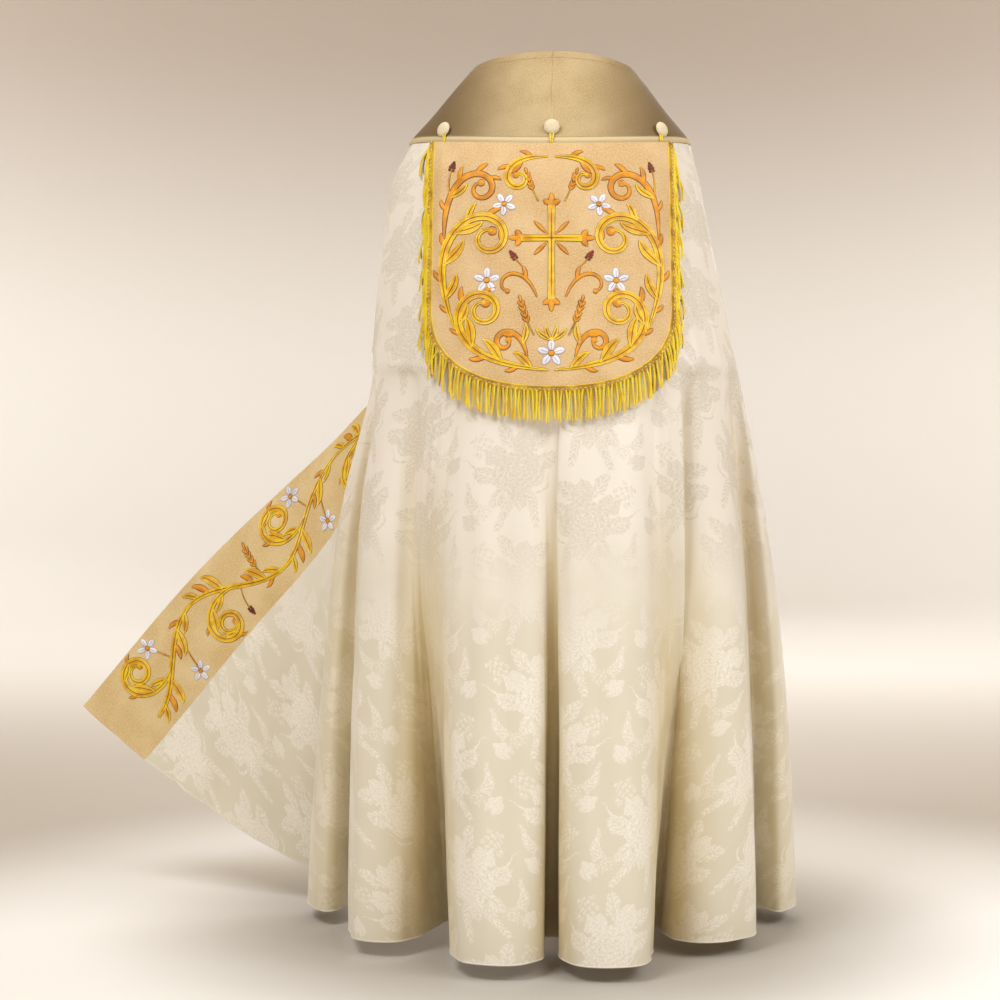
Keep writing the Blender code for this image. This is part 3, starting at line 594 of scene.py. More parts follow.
def tendril(tree, point):
    x, y, _ = node(tree, "SeparateXYZ", point).outputs
    sway = node(tree, "Math COSINE", node(tree, "Math MULTIPLY", y, 2.7))
    aside = node(tree, "Math ABSOLUTE", node(tree, "Math MULTIPLY_ADD", sway, 0.30, x))
    taper = node(tree, "Math MULTIPLY_ADD", node(tree, "Math MULTIPLY", y, y), -0.10, 0.10)
    return node(tree, "Math SUBTRACT", taper, aside)


MOTIFS = {"rose": rose, "leaf": leaf, "spray": spray, "berries": berries, "tendril": tendril}

# %% [markdown]
# ### Lay out the repeat
#
# A woven repeat is usually set half a step down in every second column, a half drop, so the
# bouquets don't stand in rows. The cut is divided into columns, every second one is shifted,
# and each motif is drawn in its own turned and scaled square of the repeat. Three gentle noises
# push the outlines about by a few millimetres, so petals and leaves aren't ruled shapes.

# %% The figure of the damask
FULLNESS = 1.16                 # the motifs nearly touch, so figure and ground share the cloth


HALF_DROP = 0.55                # how far every second column is set up, in repeats
DRIFTS = ((45.0, 0.0085), (190.0, 0.0034), (520.0, 0.0016))     # grains a metre, reach in metres
EDGE = (-0.0013, 0.0016)        # ground and figure share their threads along the edge


def damask_figure(tree):
    """How much of the figure shows, from 0 to 1, and the map of the cut that it is drawn on."""
    cut = node(tree, "UVMap", uv_map="cut")
    x, y, _ = node(tree, "SeparateXYZ", cut).outputs
    column = node(tree, "Math FLOOR", node(tree, "Math DIVIDE", x, REPEAT_WIDTH))
    odd = node(tree, "Math FLOORED_MODULO", column, 2.0)
    x = node(tree, "Math FLOORED_MODULO", x, REPEAT_WIDTH)
    turned = node(tree, "Math SUBTRACT", REPEAT_WIDTH, x)
    x = node(tree, "Mix", {0: odd, 2: x, 3: turned}, data_type="FLOAT")
    y = node(tree, "Math MULTIPLY_ADD", odd, REPEAT_HEIGHT * HALF_DROP, y)
    y = node(tree, "Math FLOORED_MODULO", y, REPEAT_HEIGHT)
    cell = node(tree, "CombineXYZ", x, y)
    for grain, reach in DRIFTS:
        drift = node(tree, "TexNoise", {"Vector": cell, "Scale": grain, "Detail": 0.0}, noise_dimensions="2D")
        drift = node(tree, "VectorMath ADD", drift.outputs[1], (-0.5, -0.5, -0.5))
        cell = node(tree, "VectorMath MULTIPLY_ADD", drift, (reach, reach, 0), cell)
    figure = None
    for motif in REPEAT:
        size = motif.size * FULLNESS
        square = node(tree, "Mapping", {
            "Vector": cell, "Location": (motif.x, motif.y, 0), "Rotation": (0, 0, math.radians(motif.turn)),
            "Scale": (size * motif.squeeze, size, 1)}, vector_type="TEXTURE")
        depth = node(tree, "Math MULTIPLY", MOTIFS[motif.kind](tree, square), size)
        figure = node(tree, "Math MAXIMUM", figure, depth) if figure else depth
    soft = node(tree, "MapRange", figure, *EDGE, interpolation_type="SMOOTHSTEP")
    # Inside the figure short strokes of the ground come through, like shading in an engraving.
    strokes = node(tree, "Mapping", {0: cell, "Rotation": (0, 0, 0.7), "Scale": (210, 560, 1)})
    strokes = node(tree, "TexNoise", {"Vector": strokes, "Scale": 1.0, "Detail": 1.5}, noise_dimensions="2D")
    strokes = node(tree, "MapRange", strokes, 0.38, 0.54, 0.38, 1.0)
    return node(tree, "Math MULTIPLY", soft, strokes), cut


# %% [markdown]
# ### Yarns and gloss of the damask
#
# The ground is warp satin: long smooth floats along the cut, so it is the glossier of the two.
# The figure is weft satin, more matt and a little greyer. Threads are about 0.25 mm apart on
# the real cloth, too fine to show, so the weave is drawn at 1 mm with a very small height.
# High on the back, where the cloth leans towards the light, the figure looks the darker of
# the two, and lower down the paler. That is painted light and shade: the figure's colour is
# mixed by height, not a change of yarn. The ground is painted a shade yellower and darker low
# down, as painted shade. Deep in the folds the colour is mixed towards gold as painted shade,
# standing in for light that has bounced from cloth to cloth.

# %% Damask material
LOW_Z, HIGH_Z = -0.90, -0.64            # the painted light and shade on figure and ground change between these heights
# Painted shade in the folds: up to this share of a golden colour, between these fold depths.
FOLD_DEPTHS, FOLD_PAINTED_SHADE = (0.010, 0.056), 0.48


def make_damask(name, low_ground_hex, high_ground_hex, low_figure_hex, high_figure_hex, ground_roughness,
                figure_roughness, fold_shade_hex=None):
    material, tree, shader = new_material(name)
    figure, cut = damask_figure(tree)
    height = node(tree, "SeparateXYZ", node(tree, "TexCoord").outputs["Object"]).outputs[2]
    raised = node(tree, "MapRange", height, LOW_Z, HIGH_Z, interpolation_type="SMOOTHSTEP")
    cloudy = node(tree, "TexNoise", {"Vector": cut, "Scale": 9.0, "Detail": 2.0})
    cloudy = node(tree, "MapRange", cloudy, 0.3, 0.7)
    worn = node(tree, "MapRange", cloudy, 0, 1, 0, 0.05)
    # Painted shade: the ground is mixed darker and yellower low down and paler high up, by height.
    ground = mixed(tree, raised, linear(low_ground_hex), linear(high_ground_hex))
    ground = mixed(tree, worn, ground, linear("#6B5A3A"))
    # Painted light and shade: the figure is mixed darker high up and paler low down, by height.
    figure_with_painted_light = mixed(tree, raised, linear(low_figure_hex), linear(high_figure_hex))
    colour = mixed(tree, figure, ground, figure_with_painted_light)
    # Painted shade: deep in the folds the colour is mixed towards gold.
    if fold_shade_hex:
        depth = node(tree, "SeparateXYZ", node(tree, "UVMap", uv_map="fold"))
        depth = node(tree, "MapRange", depth, *FOLD_DEPTHS, 0, FOLD_PAINTED_SHADE, interpolation_type="SMOOTHSTEP")
        colour = mixed(tree, depth, colour, linear(fold_shade_hex))
    rough = node(tree, "MapRange", {0: figure, 3: ground_roughness, 4: figure_roughness})
    weave = node(tree, "Mapping", {0: cut, "Scale": (1000, 240, 1)})
    weave = node(tree, "TexNoise", {"Vector": weave, "Scale": 1.0, "Detail": 1.0}, noise_dimensions="2D")
    bump = node(tree, "Bump", {"Height": weave, "Distance": 0.00012, "Strength": 0.6})
    feed(tree, shader, {"Base Color": colour, "Roughness": rough, "Normal": bump, "IOR": 1.46,
                        "Sheen Weight": 0.25, "Sheen Roughness": 0.4, "Sheen Tint": linear("#FFFAF0")})
    print(name, "has", len(tree.nodes), "nodes")
    return material


# The four middle colours carry painted light and shade by height; the last is the painted golden shade in the folds.
DAMASK = make_damask("Rayon damask, ivory", "#E0D8C2", "#EAE2D3", "#F0E9DB", "#D5CBB9", 0.36, 0.60, "#CFB25C")
DAMASK_REVERSE = make_damask("Rayon damask, reverse side", "#E0D8C9", "#E0D8C9", "#D6CCBA", "#D6CCBA", 0.60, 0.48)

# %% [markdown]
# ### Gold rep
#
# The yoke, the hood and the bands are a ribbed cloth, called rep: fine cords lie across it.
# It is matt, and its dye is slightly mottled, which gives the eye a grain. Real ribs are
# about 0.5 mm apart; they are drawn at 1.3 mm, the finest that still shows.

# %% Gold rep material
def make_rep(name, base_hex, dark_hex, light_hex, rib=0.0013, shoulder_shade_hex=None, welt_highlight_hex=None):
    material, tree, shader = new_material(name)
    cut = node(tree, "UVMap", uv_map="cut")
    grain = node(tree, "TexNoise", {"Vector": cut, "Scale": 420.0, "Detail": 2.0}, noise_dimensions="2D")
    broad = node(tree, "TexNoise", {"Vector": cut, "Scale": 14.0, "Detail": 3.0}, noise_dimensions="2D")
    ribs = node(tree, "Mapping", {0: cut, "Scale": (0.12 / rib, 1 / rib, 1)})
    ribs = node(tree, "TexNoise", {"Vector": ribs, "Scale": 1.0, "Detail": 0.0}, noise_dimensions="2D")
    speckle = node(tree, "MapRange", grain, 0.32, 0.70)
    colour = mixed(tree, speckle, linear(base_hex), linear(dark_hex))
    lift = node(tree, "MapRange", broad, 0.35, 0.75, 0, 0.55)
    colour = mixed(tree, lift, colour, linear(light_hex))
    # Painted shade: the colour is mixed darker towards the yoke's sides, where the light grazes it.
    if shoulder_shade_hex:
        across = node(tree, "SeparateXYZ", node(tree, "TexCoord").outputs["Object"])
        across = node(tree, "Math ABSOLUTE", across)
        slope = node(tree, "MapRange", across, 0.02, 0.19, interpolation_type="SMOOTHSTEP")
        colour = mixed(tree, slope, colour, linear(shoulder_shade_hex))
    # Painted highlight: a lighter strip along the turned lower edge, where the welt catches the light.
    if welt_highlight_hex:
        down = node(tree, "SeparateXYZ", cut).outputs[1]
        edge = node(tree, "MapRange", down, -0.0105, -0.0085, 0, 0.75)
        colour = mixed(tree, edge, colour, linear(welt_highlight_hex))
    height = node(tree, "Math MULTIPLY_ADD", ribs, 1.5, grain)
    bump = node(tree, "Bump", {"Height": height, "Distance": 0.00025, "Strength": 0.7})
    feed(tree, shader, {"Base Color": colour, "Normal": bump, "Roughness": 0.68, "IOR": 1.46,
                        "Sheen Weight": 0.15, "Sheen Roughness": 0.5})
    return material


HOOD_CLOTH = make_rep("Gold rep, hood", "#D7B581", "#C29B62", "#E4C798")
BAND_CLOTH = make_rep("Gold rep, bands", "#DDC08A", "#C8A86C", "#E8D2A2")
# The yoke's shoulder colour is painted shade towards its sides, and its edge colour is a painted highlight on the
# welt.
YOKE_CLOTH = make_rep("Pale gold rep, yoke", "#BDA374", "#A68C5E", "#CDB68A", shoulder_shade_hex="#6A5124",
                      welt_highlight_hex="#DCC79A")
REP_REVERSE = make_rep("Gold rep, reverse side", "#CDB587", "#BDA375", "#D6C296")
HEM_CLOTH = make_rep("Ivory facing, turned hem", "#EAE3D4", "#DED5C2", "#F2ECE0")

# %% [markdown]
# ### Embroidery silks and bullion
#
# Satin stitch lays threads side by side across each shape, so it shines in bands that follow
# the stitch. Each silk below has stripes across the shape, from its UV map in metres, and a
# second shade that comes and goes, as a variegated silk does.

# %% Thread materials
def make_thread(name, base_hex, shade_hex, roughness, stripe=0.0011, slant=0.5, sheen=0.1):
    material, tree, shader = new_material(name)
    along, across, _ = node(tree, "SeparateXYZ", node(tree, "UVMap", uv_map="cut")).outputs
    lean = node(tree, "Math MULTIPLY_ADD", along, slant, across)
    stripes = node(tree, "Math SINE", node(tree, "Math MULTIPLY", lean, 2 * math.pi / stripe))
    stripes = node(tree, "MapRange", stripes, -1.0, 1.0)
    place = node(tree, "TexCoord").outputs["Object"]
    shades = node(tree, "TexNoise", {"Vector": place, "Scale": 55.0, "Detail": 1.0})
    shades = node(tree, "MapRange", shades, 0.42, 0.62)
    colour = mixed(tree, shades, linear(base_hex), linear(shade_hex))
    # Painted shade: the grooves between the stripes are mixed towards a darker copy of the shade colour.
    deep = [c * 0.70 for c in linear(shade_hex)[:3]] + [1.0]
    groove = node(tree, "MapRange", stripes, 0.0, 0.40, 0.40, 0.0)
    colour = mixed(tree, groove, colour, deep)
    bump = node(tree, "Bump", {"Height": stripes, "Distance": 0.00022, "Strength": 0.8})
    feed(tree, shader, {"Base Color": colour, "Normal": bump, "Roughness": roughness, "IOR": 1.5,
                        "Sheen Weight": sheen})
    return material


SILK_GOLD = make_thread("Silk thread, yellow gold", "#F6C41C", "#DC9C0C", 0.40, sheen=0)
SILK_AMBER = make_thread("Silk thread, amber", "#EE9F08", "#D08406", 0.42, sheen=0)
SILK_BROWN = make_thread("Silk cord, brown outline", "#82490A", "#5E3606", 0.55)
SILK_RED = make_thread("Silk thread, dark red-brown", "#8A3418", "#64200F", 0.45)
SILK_WHITE = make_thread("Silk thread, white", "#F6F4F4", "#E4E0E8", 0.45)
SILK_BRIGHT = make_thread("Silk cord, bright yellow", "#FBDE34", "#E8B818", 0.34)
SILK_GREY = make_thread("Silk thread, lavender grey", "#B4AAC0", "#9A90A6", 0.5)
SILK_CREAM = make_thread("Silk thread, cream", "#FBF0CC", "#EFDDA6", 0.45)
BULLION = make_thread("Rayon bullion, lemon gold", "#FFE634", "#F8D01E", 0.32, stripe=0.0016, slant=1.2)
# A darker copy of the bullion, as painted shade for the under row at the hood's sides.
BULLION_IN_PAINTED_SHADE = make_thread("Rayon bullion in the under row, darkened as painted shade", "#D9A91E", "#A87A12", 0.36,
                            stripe=0.0016, slant=1.2)
BRAID = make_thread("Rayon braid, deep gold", "#E2B61C", "#B4860E", 0.38)
SEWING_THREAD = make_thread("Sewing thread, gold", "#C9AE72", "#B79B60", 0.55)
BUTTON_CLOTH = make_rep("Cream rep, buttons", "#DDCDA8", "#CFBD94", "#E8DBBB", rib=0.0009)

# %% [markdown]
# ## Sewing grids into shells
#
# A cloth piece is a grid of points with a place on the flat cut for each. The grid is thickened
# by the Solidify modifier to the real wall of the lined cloth, 2 mm, and its inner side takes
# the reverse of the weave. The thickness could be left out, but then every edge would look
# like paper.

# %% A shell from a grid
SHARP_ANGLE = math.radians(55)
pieces = {}


def keep(obj, *, replaces=()):
    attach(obj, "root")
    if replaces:
        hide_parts(*replaces)
    pieces[obj.name] = obj
    return obj


def add_layer(data, name, values):
    layer = data.uv_layers.new(name=name)
    corners = np.empty(len(data.loops), dtype=np.int32)
    data.loops.foreach_get("vertex_index", corners)
    layer.data.foreach_set("uv", np.asarray(values, dtype=np.float32)[corners].ravel())


def mesh_object(name, points, faces, materials, uv=None, material_of=None):
    data = bpy.data.meshes.new(name)
    data.from_pydata([tuple(point) for point in points], [], [tuple(face) for face in faces])
    for material in materials:
        data.materials.append(material)
    if uv is not None:
        add_layer(data, "cut", uv)
    if material_of is not None:
        data.polygons.foreach_set("material_index", np.asarray(material_of, dtype=np.int32))
    data.shade_smooth()
    obj = bpy.data.objects.new(name, data)
    bpy.context.scene.collection.objects.link(obj)
    return obj


def shell(name, points, cut, outside, inside, thickness=CLOTH, depth=None):
    rows, columns = points.shape[:2]
    index = np.arange(rows * columns).reshape(rows, columns)
    faces = np.stack([index[:-1, :-1], index[1:, :-1], index[1:, 1:], index[:-1, 1:]], axis=2)
    obj = mesh_object(name, points.reshape(-1, 3), faces.reshape(-1, 4), [outside, inside], cut.reshape(-1, 2))
    if depth is not None:
        add_layer(obj.data, "fold", np.stack([depth, depth], axis=2).reshape(-1, 2))
    solid = obj.modifiers.new("Cloth", "SOLIDIFY")
    solid.thickness = thickness
    solid.offset = 0
    solid.material_offset = 1
    graph = bpy.context.evaluated_depsgraph_get()
    thick = bpy.data.meshes.new_from_object(obj.evaluated_get(graph))
    obj.modifiers.clear()
    obj.data = thick
    thick.set_sharp_from_angle(angle=SHARP_ANGLE)
    return obj


def grid_area(points):
    a = points[1:, :-1] - points[:-1, :-1]
    b = points[:-1, 1:] - points[:-1, :-1]
    c = points[1:, :-1] - points[1:, 1:]
    d = points[:-1, 1:] - points[1:, 1:]
    return float((np.linalg.norm(np.cross(a, b), axis=2) + np.linalg.norm(np.cross(c, d), axis=2)).sum() / 2)


# %% [markdown]
# ## The mantle and the front bands
#
# The half circle is four pieces: two quarter circles of damask that meet at the centre back,
# and a band of gold rep down each front edge. They are cut out of the one creased surface, so
# their edges meet all the way down, 0.3 mm apart.

# %% How deep each point lies in a fold
# This depth drives the painted golden shade in the damask's folds.
FOLD_REACH = 0.055              # along the row, on each side: a wide, open fold counts for less
body_rows = creased[:, COLUMN_OF[FIRST_FOLD_STATION]:]
fold_depth = np.zeros(creased.shape[:2])
for row, points in enumerate(body_rows):
    half_width, shift, back, front = section_at(points[:, 2].mean())
    round_axis = np.hypot((points[:, 0] - shift) / half_width, points[:, 1] / np.where(points[:, 1] < 0, back, front))
    run = round_the_row[row, -len(points):]
    near = np.abs(run[:, None] - run[None, :]) < FOLD_REACH
    crest = np.where(near, round_axis[None, :], 0).max(axis=1)
    fold_depth[row, -len(points):] = (crest - round_axis) * half_width
print("deepest fold, millimetres:", round(1000 * fold_depth.max()))


# %% Cut the four pieces
def cut_piece(first, last):
    points = creased[:, first:last + 1].copy()
    for edge, beside in ((0, 1), (-1, -2)):
        inward = points[:, beside] - points[:, edge]
        points[:, edge] += inward / np.linalg.norm(inward, axis=1, keepdims=True) * SEAM_GAP / 2
    return points


def band_cut(first, last, inner):
    across = round_the_row[:, first:last + 1] - round_the_row[:, inner:inner + 1]
    return np.stack([down_the_column[:, first:last + 1], across], axis=2)


last_column = COLUMN_OF[-1]
mantle_left = shell("mantle_left_damask", cut_piece(left_band, centre), flat_cut[:, left_band:centre + 1],
                    DAMASK, DAMASK_REVERSE, depth=fold_depth[:, left_band:centre + 1])
mantle_right = shell("mantle_right_damask", cut_piece(centre, right_band), flat_cut[:, centre:right_band + 1],
                     DAMASK, DAMASK_REVERSE, depth=fold_depth[:, centre:right_band + 1])
band_left = shell("orphrey_left_rep", cut_piece(0, left_band), band_cut(0, left_band, left_band),
                  BAND_CLOTH, REP_REVERSE)
band_right = shell("orphrey_right_rep", cut_piece(right_band, last_column),
                   band_cut(right_band, last_column, right_band), BAND_CLOTH, REP_REVERSE)
keep(mantle_left, replaces=["mantle_left"])
keep(mantle_right, replaces=["mantle_right"])
keep(band_left, replaces=["orphrey_left"])
keep(band_right, replaces=["orphrey_right"])

# %% [markdown]
# ### The turned hem
#
# The hem is faced with a narrow plain strip that shows as a pale edge 3 mm deep. It could be
# a line in the material, but a small rolled edge catches the light as the real one does.

# %% Tubes, and the rolled hem
RIGHT, FORWARD, UP = Vector((1, 0, 0)), Vector((0, 1, 0)), Vector((0, 0, 1))
BACK = -FORWARD


def axes_at(line, index, up):
    """Two directions square to a line at one of its points, and to each other."""
    along = tangent(line, index)
    side = along.cross(up)
    side = side.normalized() if side.length > 1e-4 else along.orthogonal().normalized()
    return side, side.cross(along)


def on_circle(middle, side, top, size, angle):
    return middle + side * size * math.cos(angle) + top * size * math.sin(angle)


def ring_faces(start, rings, sides):
    """The faces between rings of points, each ring closed on itself."""
    faces = []
    for first in range(start, start + (rings - 1) * sides, sides):
        for step in range(sides):
            a, b = first + step, first + (step + 1) % sides
            faces.append((a, b, b + sides, a + sides))
    return faces


def add_tube(mesh, line, radius_at, sides, material=0, up=UP):
    """Adds a closed tube to mesh, a dictionary of points, faces, uv and material indices."""
    start, run = len(mesh["points"]), distances(line)
    for index, place in enumerate(line):
        side, top = axes_at(line, index, up)
        size = radius_at(index / (len(line) - 1)) if callable(radius_at) else radius_at
        for step in range(sides):
            angle = 2 * math.pi * step / sides
            mesh["points"].append(on_circle(place, side, top, size, angle))
            mesh["uv"].append((run[index], angle * size))
    last = start + (len(line) - 1) * sides
    faces = ring_faces(start, len(line), sides)
    faces += [tuple(reversed(range(start, start + sides))), tuple(range(last, last + sides))]
    mesh["faces"] += faces
    mesh["material"] += [material] * len(faces)


def empty_mesh():
    return {"points": [], "faces": [], "uv": [], "material": []}


def finish_mesh(name, mesh, materials):
    obj = mesh_object(name, mesh["points"], mesh["faces"], materials, mesh["uv"], mesh["material"])
    obj.data.set_sharp_from_angle(angle=SHARP_ANGLE)
    print(name, len(obj.data.polygons), "faces")
    return obj


HEM_ROLL = 0.0016
creased_normals = outward_normals(creased)


def hem_roll(name, first, last, material):
    mesh = empty_mesh()
    line = [Vector(point) + Vector((0, 0, HEM_ROLL * 0.4)) for point in creased[-1, first:last + 1]]
    add_tube(mesh, line, HEM_ROLL, 8)
    return finish_mesh(name, mesh, [material])


keep(hem_roll("hem_left", left_band, centre, HEM_CLOTH))
keep(hem_roll("hem_right", centre, right_band, HEM_CLOTH))
keep(hem_roll("hem_orphrey_left", 0, left_band, BAND_CLOTH))
keep(hem_roll("hem_orphrey_right", right_band, last_column, BAND_CLOTH))

# %% [markdown]
# ## The yoke
#
# The yoke is a plain shoulder ring of gold rep, in two halves. It is smooth because it is
# stretched over the shoulders. Its lower edge is turned up and topstitched, which leaves a
# welt about 10 mm deep with a soft groove above it, and the neck edge has a row of stitches.

# %% Points of the yoke
NECK_HALF_WIDTH, NECK_BACK, NECK_FRONT = 0.131, 0.085, 0.100
NECK_Z_BACK, NECK_Z_SIDE, NECK_Z_FRONT = 0.084, 0.068, -0.020
NECK_FRONT_ANGLE = 152.0
YOKE_BULGE, YOKE_PROUD, YOKE_HEM = -0.0005, 0.0012, 0.004
DEGREE_STEP, LEVEL_STEP, YOKE_STEP = 0.5, 0.004, 0.01


def outward_at(degrees, z):
    around = oval_point(degrees + DEGREE_STEP, z) - oval_point(degrees - DEGREE_STEP, z)
    down = oval_point(degrees, z - LEVEL_STEP) - oval_point(degrees, z + LEVEL_STEP)
    return down.cross(around).normalized()


def neck_point(degrees):
    angle = math.radians(degrees)
    depth = NECK_BACK if math.cos(angle) > 0 else NECK_FRONT
    z = round_level(degrees, NECK_Z_BACK, NECK_Z_SIDE, NECK_Z_FRONT)
    return Vector((NECK_HALF_WIDTH * math.sin(angle), -depth * math.cos(angle), z))


def yoke_strip_point(degrees, height):
    z = yoke_edge_z(degrees)
    return oval_point(degrees, z) + outward_at(degrees, z) * YOKE_PROUD + Vector((0, 0, height))


def yoke_point(share, down):
    neck = neck_point(share * NECK_FRONT_ANGLE)
    degrees = share * FRONT_EDGE_ANGLE
    edge = yoke_strip_point(degrees, YOKE_HEM)
    around = oval_point(degrees + DEGREE_STEP, edge.z) - oval_point(degrees - DEGREE_STEP, edge.z)
    outward = (edge - neck).cross(around).normalized()
    return mix(neck, edge, down) + outward * YOKE_BULGE * 4 * down * (1 - down)


def yoke_share_at(x, down):
    low, high = -0.5, 0.5
    for _ in range(30):
        middle = (low + high) / 2
        if yoke_point(middle, down).x < x:
            low = middle
        else:
            high = middle
    return middle


# %% Yoke halves with their welt
YOKE_COLUMNS, YOKE_ROWS, WELT_ROWS = 110, 26, 6
SEAM_CROWDING = 1.45             # above 1: the columns crowd towards the centre-back seam
WELT_SWELL, GROOVE = 0.0005, 0.0009


def yoke_grid(side):
    shares = [side * (step / YOKE_COLUMNS) ** SEAM_CROWDING for step in range(YOKE_COLUMNS + 1)]
    rows = [[yoke_point(share, row / YOKE_ROWS) for share in shares] for row in range(YOKE_ROWS + 1)]
    rows += [[yoke_strip_point(share * FRONT_EDGE_ANGLE, YOKE_HEM * (1 - row / WELT_ROWS)) for share in shares]
             for row in range(1, WELT_ROWS + 1)]
    for line in rows:
        line[0].x = side * SEAM_GAP / 2
    if side < 0:
        rows = [list(reversed(line)) for line in rows]
    return np.array([[tuple(point) for point in line] for line in rows])


# Places in metres from the yoke's own edges; widths and depths of what lies there.
WELT_MIDDLE, WELT_HALF_WIDTH = 0.005, 0.005
GROOVE_AT, GROOVE_WIDTH = 0.0115, 0.0022
NECK_STITCHES_AT, NECK_GROOVE, NECK_GROOVE_WIDTH = 0.011, 0.0004, 0.0016
SEAM_GROOVE, SEAM_GROOVE_WIDTH = 0.0011, 0.0016
yoke_surfaces = {}
for side, name in ((-1, "left"), (1, "right")):
    grid = yoke_grid(side)
    out = outward_normals(grid)
    run_down, run_across = run_lengths(grid, 0), run_lengths(grid, 1)
    from_edge = run_down[-1:] - run_down
    seam_column = -1 if side < 0 else 0
    relief = WELT_SWELL * np.clip(1 - np.abs(from_edge - WELT_MIDDLE) / WELT_HALF_WIDTH, 0, 1)
    relief -= GROOVE * np.exp(-((from_edge - GROOVE_AT) / GROOVE_WIDTH) ** 2)
    relief -= NECK_GROOVE * np.exp(-((run_down - NECK_STITCHES_AT) / NECK_GROOVE_WIDTH) ** 2)
    away = np.abs(run_across - run_across[:, seam_column][:, None])
    relief -= SEAM_GROOVE * np.exp(-(away / SEAM_GROOVE_WIDTH) ** 2)
    relief += 0.0006 * np.sin(run_across * 37 + run_down * 21) * np.clip(from_edge / 0.03, 0, 1)
    grid = grid + out * relief[..., None]
    cut = np.stack([away * side, -from_edge], axis=2)
    yoke_surfaces[name] = (grid, outward_normals(grid))
    piece = shell("yoke_%s_rep" % name, grid, cut, YOKE_CLOTH, REP_REVERSE)
    keep(piece, replaces=["yoke_" + name])

# %% [markdown]
# ### Topstitching
#
# Each stitch is a short thread that dips into the cloth at both ends. A row of them, 2.5 mm
# long each, runs round the neck and above the welt. It could be painted on, but small real stitches
# throw their own shadows and hold up in a close view.

# %% Stitches
STITCH_PITCH, STITCH_LENGTH, STITCH_RADIUS = 0.0032, 0.0025, 0.00035
STITCH_RISE = ((0.0, -0.3), (0.2, 0.75), (0.5, 1.0), (0.8, 0.75), (1.0, -0.3))
WELT_STITCHES_AT = 0.0100


def lay_stitches(mesh, line, lift):
    """line is a list of (point, outward) pairs, close together; stitches follow it."""
    lengths = distances([point for point, _ in line])

    def at(distance):
        index = min(int(np.searchsorted(lengths, distance, side="right")) - 1, len(line) - 2)
        share = (distance - lengths[index]) / max(lengths[index + 1] - lengths[index], 1e-9)
        point = mix(line[index][0], line[index + 1][0], share)
        return point, mix(line[index][1], line[index + 1][1], share).normalized()

    for number in range(int(lengths[-1] / STITCH_PITCH)):
        start = (number + 0.1) * STITCH_PITCH
        path = []
        for share, height in STITCH_RISE:
            point, out = at(start + STITCH_LENGTH * share)
            path.append(point + out * (lift + height * STITCH_RADIUS))
        add_tube(mesh, path, STITCH_RADIUS, 5, up=at(start)[1])


for name, (grid, out) in yoke_surfaces.items():
    stitches = empty_mesh()
    run_down = run_lengths(grid, 0)[:, grid.shape[1] // 2]
    for distance in (NECK_STITCHES_AT, run_down[-1] - WELT_STITCHES_AT):
        row = int(np.argmin(np.abs(run_down - distance)))
        line = [(Vector(point), Vector(normal)) for point, normal in zip(grid[row], out[row])]
        lay_stitches(stitches, line, CLOTH / 2)
    keep(finish_mesh("yoke_stitches_" + name, stitches, [SEWING_THREAD]))

# %% [markdown]
# ## The hood
#
# A cope's hood is no longer a hood: it is a flat shield that hangs from three buttons over the
# back. It lies just off the mantle, so it follows the same ovals, and its weight draws a soft
# vertical fold near its left edge and very shallow waves towards the bottom.

# %% The hood's outline and surface
HOOD_HALF_WIDTH, HOOD_SHIFT = 0.1825, -0.0025
HOOD_STRAIGHT_Z, HOOD_BOTTOM_Z, HOOD_ROUNDNESS = -0.336, -0.458, 2.35
HOOD_LIFT_TOP, HOOD_LIFT_BOTTOM, HOOD_LIFT_EASE = 0.0036, 0.0090, 0.6
HOOD_EDGE_GAP, BRAID_WIDTH = 0.0005, 0.009

Wave = namedtuple("Wave", "x z_top z_bottom half_width depth")
HOOD_WAVES = (
    Wave(-0.170, -0.070, -0.300, 0.009, 0.0030),
    Wave(-0.150, -0.070, -0.240, 0.012, -0.0016),
    Wave(0.160, -0.080, -0.300, 0.016, 0.0014),
    Wave(-0.060, -0.120, -0.460, 0.030, 0.0012),
    Wave(0.070, -0.150, -0.460, 0.028, 0.0014),
    Wave(0.005, -0.260, -0.470, 0.022, -0.0010),
)


def back_surface(x, z, lift):
    half_width, shift, _, _ = section_at(z)
    sine = min(max((x - shift) / half_width, -1.0), 1.0)
    degrees = math.degrees(math.asin(sine))
    level = outward_at(degrees, z)
    level.z = 0
    return oval_point(degrees, z) + level.normalized() * lift


def hood_top_z(x):
    half_width, shift, _, _ = section_at(YOKE_EDGE_SIDE)
    degrees = math.degrees(math.asin((x - shift) / (half_width + LIFT)))
    return yoke_edge_z(degrees) - YOKE_SEAM_GAP


def hood_lift(z):
    share = clamp((z - YOKE_EDGE_SIDE) / (HOOD_BOTTOM_Z - YOKE_EDGE_SIDE))
    return mix(HOOD_LIFT_TOP, HOOD_LIFT_BOTTOM, share ** HOOD_LIFT_EASE)


def hood_relief(x, z):
    relief = 0.0
    for wave in HOOD_WAVES:
        fade = math.sin(math.pi * clamp((wave.z_top - z) / (wave.z_top - wave.z_bottom))) ** 0.6
        relief += wave.depth * fade * math.exp(-((x - wave.x) / wave.half_width) ** 2)
    return relief


def hood_point(x, z, lift=0.0):
    return back_surface(HOOD_SHIFT + x, z, hood_lift(z) + hood_relief(x, z) + lift)


def hood_bottom(share):
    angle = share * math.pi / 2
    power = 2 / HOOD_ROUNDNESS
    x = math.copysign(abs(math.sin(angle)) ** power, share) * HOOD_HALF_WIDTH
    return x, HOOD_STRAIGHT_Z - (HOOD_STRAIGHT_Z - HOOD_BOTTOM_Z) * abs(math.cos(angle)) ** power


